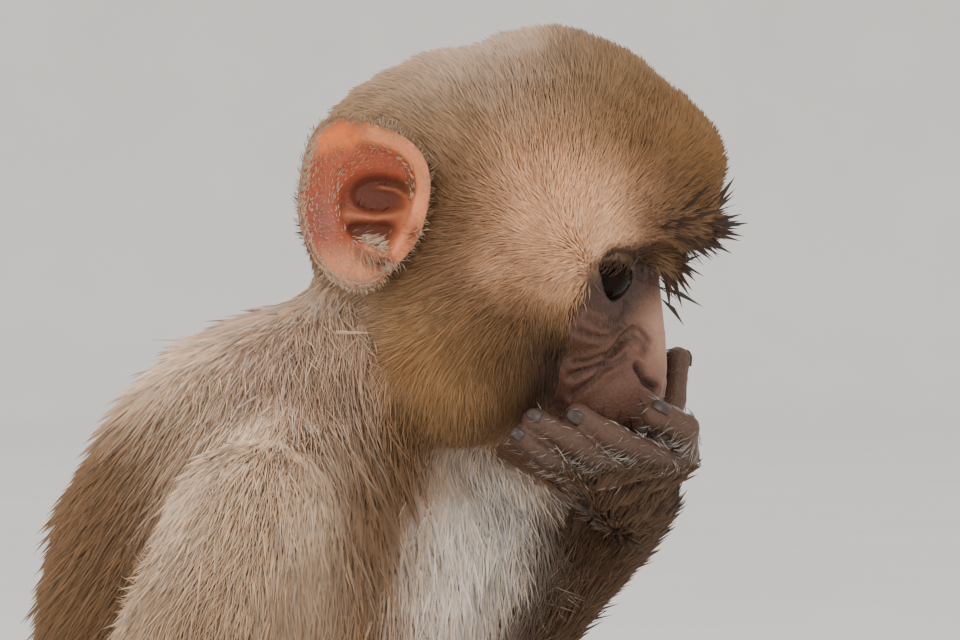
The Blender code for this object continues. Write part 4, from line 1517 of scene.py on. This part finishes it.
class MACAQUE_OT_skin(bpy.types.Operator):
    """Join the flesh into one skin, sink it by the depth of the coat and shape its face and ears"""

    bl_idname = "macaque.skin"
    bl_label = "Skin and ears"

    def execute(self, context):
        settings = context.scene.macaque_skin
        skin = self.joined(context)
        self.one_form(skin, settings.grain)
        form = Form(skin.data)
        made["form"] = form
        self.thin_under_coat(skin, form, settings.furred_share)
        self.refine(skin.data)
        self.finish(skin, form)
        apply_modifier(skin, "DECIMATE", ratio=settings.kept_share)
        hand = add_object("held_hand", make_hand())
        self.one_form(hand, HAND_GRAIN)
        made["hand"] = Form(hand.data, only="hand_left", rounds=10)
        self.finish(hand, made["hand"])
        apply_modifier(hand, "DECIMATE", ratio=settings.kept_share)
        self.add_ears(context, skin, hand)
        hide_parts(*FLESH, "ear_left", "ear_right")
        return {"FINISHED"}

    def joined(self, context):
        """One object of copies of the solids, each a little larger so that neighbours meet, with the ears' roots
        and the throat."""
        copies = []
        bpy.ops.object.select_all(action="DESELECT")
        for name in [*FLESH, "eye_left", "eye_right"]:
            if name == "hand_left":
                continue
            body = bmesh.new()
            body.from_mesh(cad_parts[name].data)
            bmesh.ops.remove_doubles(body, verts=body.verts, dist=1e-5)
            body.normal_update()
            for corner in body.verts:
                corner.co += corner.normal * 0.35 * MM
            copies.append(add_object(name + "_flesh", finished_mesh(body, name + "_flesh")))
        for side in (*SIDES.values(), 0):
            bpy.ops.mesh.primitive_uv_sphere_add(segments=32, ring_count=24, radius=1)
            copies.append(context.object)
            ball = context.object.data
            middle, radii = EAR_ROOT if side else THROAT
            own = mesh_points(ball) * radii + middle
            set_points(ball, from_head(own * [1, side, 1]) if side else own * MM)
            if side < 0:
                ball.flip_normals()
        for copy in copies:
            copy.select_set(True)
        context.view_layer.objects.active = copies[0]
        bpy.ops.object.join()
        skin = context.object
        skin.name = "skin"
        skin.data.name = "skin"
        return skin

    def one_form(self, skin, grain):
        """Melts all that meets into one closed surface. Anything smaller that stays apart from it goes."""
        apply_modifier(skin, "REMESH", mode="VOXEL", voxel_size=grain)
        form = bmesh.new()
        form.from_mesh(skin.data)
        for group in sorted(linked_groups(form), key=len)[:-1]:
            bmesh.ops.delete(form, geom=list(group), context="VERTS")
        form.to_mesh(skin.data)
        form.free()

    def thin_under_coat(self, skin, form, share):
        """Fewer faces under the coat, where none of them show."""
        front = rise(to_head(form.points)[:, 0], 36, 42) * form.parts["head"]
        fine = np.clip(form.bare * 2, 0, 1) + hands_and_feet(form.parts) + front
        group = skin.vertex_groups.new(name="furred")
        inside = np.nonzero(fine < 0.5)[0].tolist()
        group.add(inside, 1.0, "REPLACE")
        part = len(inside) / len(form.points)
        apply_modifier(skin, "DECIMATE", ratio=1 - part * (1 - share), vertex_group=group.name)
        skin.vertex_groups.clear()

    def refine(self, mesh):
        """Smaller faces on the animal's face."""
        head = to_head(mesh_points(mesh))
        on_face = (head[:, 0] > 40) & (head[:, 2] < 26) & (head[:, 2] > -46) & (np.abs(head[:, 1]) < 27)
        picked = np.array([all(on_face[corner] for corner in face.vertices) for face in mesh.polygons])
        mesh.polygons.foreach_set("select", picked)
        bpy.ops.object.mode_set(mode="EDIT")
        bpy.ops.mesh.select_mode(type="FACE")
        bpy.ops.object.mode_set(mode="OBJECT")
        mesh.polygons.foreach_set("select", picked)
        bpy.ops.object.mode_set(mode="EDIT")
        bpy.ops.mesh.subdivide(number_cuts=1, quadcorner="INNERVERT")
        bpy.ops.object.mode_set(mode="OBJECT")

    def finish(self, skin, form):
        """Shapes the face and stores the markings."""
        mesh = skin.data
        web = Web(mesh)
        points = mesh_points(mesh)
        tree = BVHTree.FromPolygons(form.points.tolist(), form.triangles.tolist())
        corner = form.triangles[[tree.find_nearest(point)[2] for point in points]][:, 0]
        parts = {name: share[corner] for name, share in form.parts.items()}
        head = to_head(points)
        on_face = rise(head[:, 0], 36, 42) * (1 - rise(head[:, 2], 26, 34)) * (np.abs(head[:, 1]) < 32)
        on_face = on_face * rise(parts["head"] + parts["jaw"], 0.3, 0.7)
        points = web.relax(points, 6, on_face)
        set_points(mesh, points)
        shaped, cavity = shape_face(to_head(points), mesh_normals(mesh) @ TURN)
        chosen = on_face > 0.05
        points[chosen] = from_head(shaped[chosen])
        cavity[~chosen] = 0
        set_points(mesh, web.relax(points, 1, on_face * 0.5))
        bare = form.bare[corner] + hands_and_feet(parts)
        # The skin's colour, with painted shade in the face's folds.
        skin_tone = skin_colour(points, parts, cavity)
        # Painted shade: the skin under the coat a little darker than the coat's tone, as in the coat's shadow.
        shaded_under_coat = form.tone[corner] * 0.9
        bare = bare * (1 - form.length[corner] * parts["hand_left"] / 9)
        marking = shaded_under_coat + (skin_tone - shaded_under_coat) * np.clip(bare, 0, 1)[:, None]
        keep_numbers(mesh, "marking", marking)
        mesh.shade_smooth()

    def add_ears(self, context, skin, hand):
        finish = skin_finish()
        for piece in (skin, hand):
            piece.data.materials.clear()
            piece.data.materials.append(finish)
        bpy.ops.object.select_all(action="DESELECT")
        hand.select_set(True)
        for name, side in SIDES.items():
            mesh, made["ear_" + name], made["ear_back_" + name] = make_ear(side)
            mesh.materials.append(finish)
            add_object("ear", mesh).select_set(True)
        skin.select_set(True)
        context.view_layer.objects.active = skin
        bpy.ops.object.join()
        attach(skin, "root")


class MACAQUE_OT_eyes(bpy.types.Operator):
    """Add the two eyes, each a ball with a bulging front"""

    bl_idname = "macaque.eyes"
    bl_label = "Eyes"

    def execute(self, context):
        finish = eye_finish()
        bulge = context.scene.macaque_skin.eye_bulge
        for name, side in SIDES.items():
            ahead = Vector(TURN @ (GAZE * [1, side, 1])).normalized()
            turn = ahead.to_track_quat("Z", "Y").to_matrix().to_4x4()
            middle = node_middle("eye_" + name)
            bpy.ops.mesh.primitive_uv_sphere_add(segments=64, ring_count=48, radius=EYE_RADIUS * MM - 0.0001)
            eye = context.object
            eye.data.transform(Matrix.Translation(middle) @ turn)
            points = mesh_points(eye.data)
            offset = points - np.array(middle)
            angle = np.arccos(np.clip(unit(offset) @ np.array(ahead), -1, 1))
            swell = bulge * (1 - rise(angle, 0.35, 0.75))
            set_points(eye.data, points + unit(offset) * swell[:, None])
            keep_numbers(eye.data, "gaze", angle / math.pi * 2)
            eye.data.shade_smooth()
            eye.data.materials.append(finish)
            eye.name = "eye_ball_" + name
            eye.data.name = eye.name
            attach(eye, "root")
            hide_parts("eye_" + name)
        return {"FINISHED"}


class MACAQUE_OT_nails(bpy.types.Operator):
    """Add a nail to each finger and toe"""

    bl_idname = "macaque.nails"
    bl_label = "Nails"

    def execute(self, context):
        finish = nail_finish()
        sets = {"hand_left": NAILS["hand_left"], "hand_right": NAILS["hand_right"]}
        sets.update((foot, toe_places(foot)) for foot in FEET)
        for name, joints in sets.items():
            nails = add_piece("nails_" + name, make_nails("nails_" + name, joints), finish)
            apply_modifier(nails, "SOLIDIFY", thickness=0.5 * MM, offset=0)
            bpy.ops.object.shade_smooth()
        return {"FINISHED"}


class CoatOperator:
    """What the operators of the coat share."""

    def start(self, context, shift):
        if "form" not in made:
            raise RuntimeError("The skin comes before the coat.")
        self.settings = context.scene.macaque_coat
        self.form = made["form"]
        self.coat = Coat(self.form, self.settings.seed * 100 + shift)
        self.head = to_head(self.form.points)
        self.pair = paired(self.head)
        if "hair" not in made:
            made["hair"] = hair_finish()

    def piece(self, name, weight, count, width, length=None, slot="coat", ground=None, **more):
        settings = self.settings
        ground = ground or self.form
        self.coat.form = ground
        weight = np.clip(weight, 0, None) * (1 - ground.covered)
        length = ground.length if length is None else np.broadcast_to(length, len(weight))
        mesh = self.coat.grow(name, weight, int(count * settings.fullness), length * settings.length,
                              width * settings.width, tone=more.pop("tone", settings.tone), **more)
        return add_piece(name, mesh, made["hair"])

    def part(self, *names):
        return sum(self.form.parts[name] for name in names)


class MACAQUE_OT_head_coat(CoatOperator, bpy.types.Operator):
    """Grow the coat of the crown, the cheeks and the neck"""

    bl_idname = "macaque.head_coat"
    bl_label = "Head's coat"

    def execute(self, context):
        self.start(context, 1)
        form, pair, head = self.form, self.pair, self.head
        furred = np.clip(1 - form.bare, 0, 1) * self.part("head")
        crown = furred * rise(head[:, 2] - 0.25 * head[:, 0], 6, 10)
        below = furred - crown
        brow = furred * rise(pair[:, 0], 50, 57) * (1 - rise(pair[:, 2], 22, 27))
        crown, below = crown * (1 - brow), below * (1 - brow)
        self.piece("coat_brow", brow, 9000, 0.12, unwrap=round_head, spread=0.3, clump=0.12, tone=0.2)
        for name, side in SIDES.items():
            half = rise(head[:, 1] * side, -0.5, 0.5)
            self.piece("coat_crown_" + name, crown * half, 41000, 0.2, unwrap=round_head, spread=0.16, clump=0.3)
            self.piece("coat_cheek_" + name, below * half, 33000, 0.21, unwrap=round_head, spread=0.14, clump=0.3)
        self.piece("coat_neck", self.part("neck"), 21000, 0.26, unwrap=part_unwrap("neck"), clump=0.3)
        return {"FINISHED"}


class MACAQUE_OT_body_coat(CoatOperator, bpy.types.Operator):
    """Grow the coat of the trunk and the tail"""

    bl_idname = "macaque.body_coat"
    bl_label = "Body's coat"

    def execute(self, context):
        self.start(context, 2)
        trunk = self.part("trunk")
        front = rise(self.form.points[:, 0] / MM, 18, 22)
        unwrap = part_unwrap("trunk")
        self.piece("coat_back", trunk * (1 - front), 41000, 0.32, unwrap=unwrap, clump=0.3)
        self.piece("coat_chest", trunk * front, 25000, 0.24, slot="pale_coat", unwrap=unwrap, clump=0.3)
        tail = self.part("tail_base", "tail_tip")
        self.piece("coat_tail", tail, 6000, 0.34, unwrap=part_unwrap("tail_base"), stand=0.6)
        return {"FINISHED"}


LIMB_COATS = {  # the part that it grows on, its tufts, their width and how much they gather
    "arm": ("upper_arm", 18000, 0.28, 0.3),
    "forearm": ("forearm", 10000, 0.28, 0.25),
    "thigh": ("thigh", 11000, 0.42, 0.3),
    "shank": ("shank", 7000, 0.36, 0.25),
}


class MACAQUE_OT_limb_coat(CoatOperator, bpy.types.Operator):
    """Grow the coat of the arms and legs"""

    bl_idname = "macaque.limb_coat"
    bl_label = "Limbs' coat"

    def execute(self, context):
        self.start(context, 3)
        for side in SIDES:
            for kind, (part, count, width, clump) in LIMB_COATS.items():
                part += "_" + side
                weight = self.part(part) * (1 - self.part("forearm_" + side) * (kind == "arm"))
                self.piece(f"coat_{kind}_{side}", weight, count, width, unwrap=part_unwrap(part), clump=clump)
        return {"FINISHED"}


class MACAQUE_OT_fine_hair(CoatOperator, bpy.types.Operator):
    """Grow the short hair of the hands, the feet and the face"""

    bl_idname = "macaque.fine_hair"
    bl_label = "Fine hair"

    def execute(self, context):
        self.start(context, 4)
        form, pair = self.form, self.pair
        pale = FUR["white"] * 0.3
        for name in ("hand_right", "foot_right", "foot_left"):
            high = rise(form.points[:, 2] / MM, 7, 22)
            weight = self.part(name) * rise(form.normals[:, 2], -0.4, 0.35) * (0.35 + high)
            length = 3.2 + 5 * high
            self.piece("hair_" + name, weight, 4200, 0.2, length=length, unwrap=part_unwrap(name),
                       stand=0.7, sink=0.2)
        hand = made["hand"]
        z = hand.points[:, 2] / MM
        unwrap = part_unwrap("hand_left")
        self.piece("coat_hand_left", 1 - rise(z, 170, 179), 8000, 0.2, ground=hand, unwrap=unwrap, clump=0.3)
        fingers = rise(z, 170, 176)[:, None]
        hand.lie = unit(hand.lie * (1 - fingers) + np.array([-0.85, -0.1, -0.3]) * fingers)
        places = hand.points / MM
        knuckles = blob(places, (100, -30, 178), (14, 8, 5)) + blob(places, (119, -18, 184), (4, 8, 6))
        self.piece("hair_hand_left", rise(z, 171, 176) * (0.06 + knuckles), 800, 0.055, length=4.6, ground=hand,
                   unwrap=unwrap, tint=pale, spread=0.28, clump=0.5, sink=0.2)
        for name in SIDES:
            ear = made["ear_" + name]
            weight = ear.rim * 1.3 + ear.inside * 0.2 + ear.tuft * 0.7
            self.piece("hair_ear_" + name, weight, 1700, 0.07, ground=ear, unwrap=round_head,
                       tint=FUR["grey_beige"] * 0.8, spread=0.3, sink=0.1)
            rear = made["ear_back_" + name]
            self.piece("coat_ear_" + name, rear.middle, 2400, 0.16, ground=rear, unwrap=round_head,
                       tint=FUR["golden"] * 0.85, spread=0.2, sink=0.1)
        face = np.clip(form.bare, 0, 1) * self.part("head", "jaw")
        face = face * (1 - rise(pair[:, 0], 50, 60) * rise(pair[:, 2], -24, -18))
        face = face * rise(np.linalg.norm(pair - np.array(EYE_AT), axis=1), 12, 14)
        self.piece("hair_face", face, 2200, 0.08, length=2.4, unwrap=round_head, stand=0.6, sink=-0.3,
                   tint=FUR["golden"] * 0.7)
        return {"FINISHED"}


class MACAQUE_OT_whiskers(CoatOperator, bpy.types.Operator):
    """Add the few long hairs of the brow, the lips and the chin"""

    bl_idname = "macaque.whiskers"
    bl_label = "Whiskers"

    def execute(self, context):
        self.start(context, 5)
        pair = self.pair
        head = self.part("head", "jaw")
        brow = rise(pair[:, 0], 54, 60) * near(pair[:, 2], 20, 5) * (pair[:, 1] < 16) * head
        uneven = self.coat.random.uniform(6, 14, len(pair))
        self.piece("bristles_brow", brow, 360, 0.06, length=uneven, unwrap=round_head, spread=0.35,
                   tint=FUR["dark"] * 0.8)
        lips = near(pair[:, 2], -24, 5) * rise(pair[:, 0], 50, 56) * head
        lips = lips + near(pair[:, 2], -38, 5) * rise(pair[:, 0], 46, 52) * head
        self.piece("bristles_lips", lips, 120, 0.14, length=6, unwrap=round_head, spread=0.5, tint=FUR["dark"])
        return {"FINISHED"}


class MACAQUE_PT_panel(bpy.types.Panel):
    """Lists the settings and the pieces of the animal"""

    bl_idname = "MACAQUE_PT_panel"
    bl_label = "Young macaque"
    bl_space_type = "VIEW_3D"
    bl_region_type = "UI"
    bl_category = "Macaque"

    def draw(self, context):
        scene = context.scene
        for settings in (scene.macaque_skin, scene.macaque_coat, scene.macaque_stage):
            for name in settings.__annotations__:
                self.layout.prop(settings, name)
        for operator in OPERATORS:
            self.layout.operator(operator.bl_idname)


SETTINGS = {
    "macaque_skin": MacaqueSkinSettings,
    "macaque_coat": MacaqueCoatSettings,
    "macaque_stage": MacaqueStageSettings,
}
OPERATORS = (
    MACAQUE_OT_stage,
    MACAQUE_OT_skin,
    MACAQUE_OT_eyes,
    MACAQUE_OT_nails,
    MACAQUE_OT_head_coat,
    MACAQUE_OT_body_coat,
    MACAQUE_OT_limb_coat,
    MACAQUE_OT_fine_hair,
    MACAQUE_OT_whiskers,
)


def register():
    for name, settings in SETTINGS.items():
        bpy.utils.register_class(settings)
        setattr(bpy.types.Scene, name, bpy.props.PointerProperty(type=settings))
    for operator in (*OPERATORS, MACAQUE_PT_panel):
        bpy.utils.register_class(operator)


def unregister():
    for operator in reversed((*OPERATORS, MACAQUE_PT_panel)):
        bpy.utils.unregister_class(operator)
    for name, settings in SETTINGS.items():
        delattr(bpy.types.Scene, name)
        bpy.utils.unregister_class(settings)


def main():
    register()
    for operator in OPERATORS:
        family, name = operator.bl_idname.split(".")
        getattr(getattr(bpy.ops, family), name)()


if __name__ == "__main__":
    main()
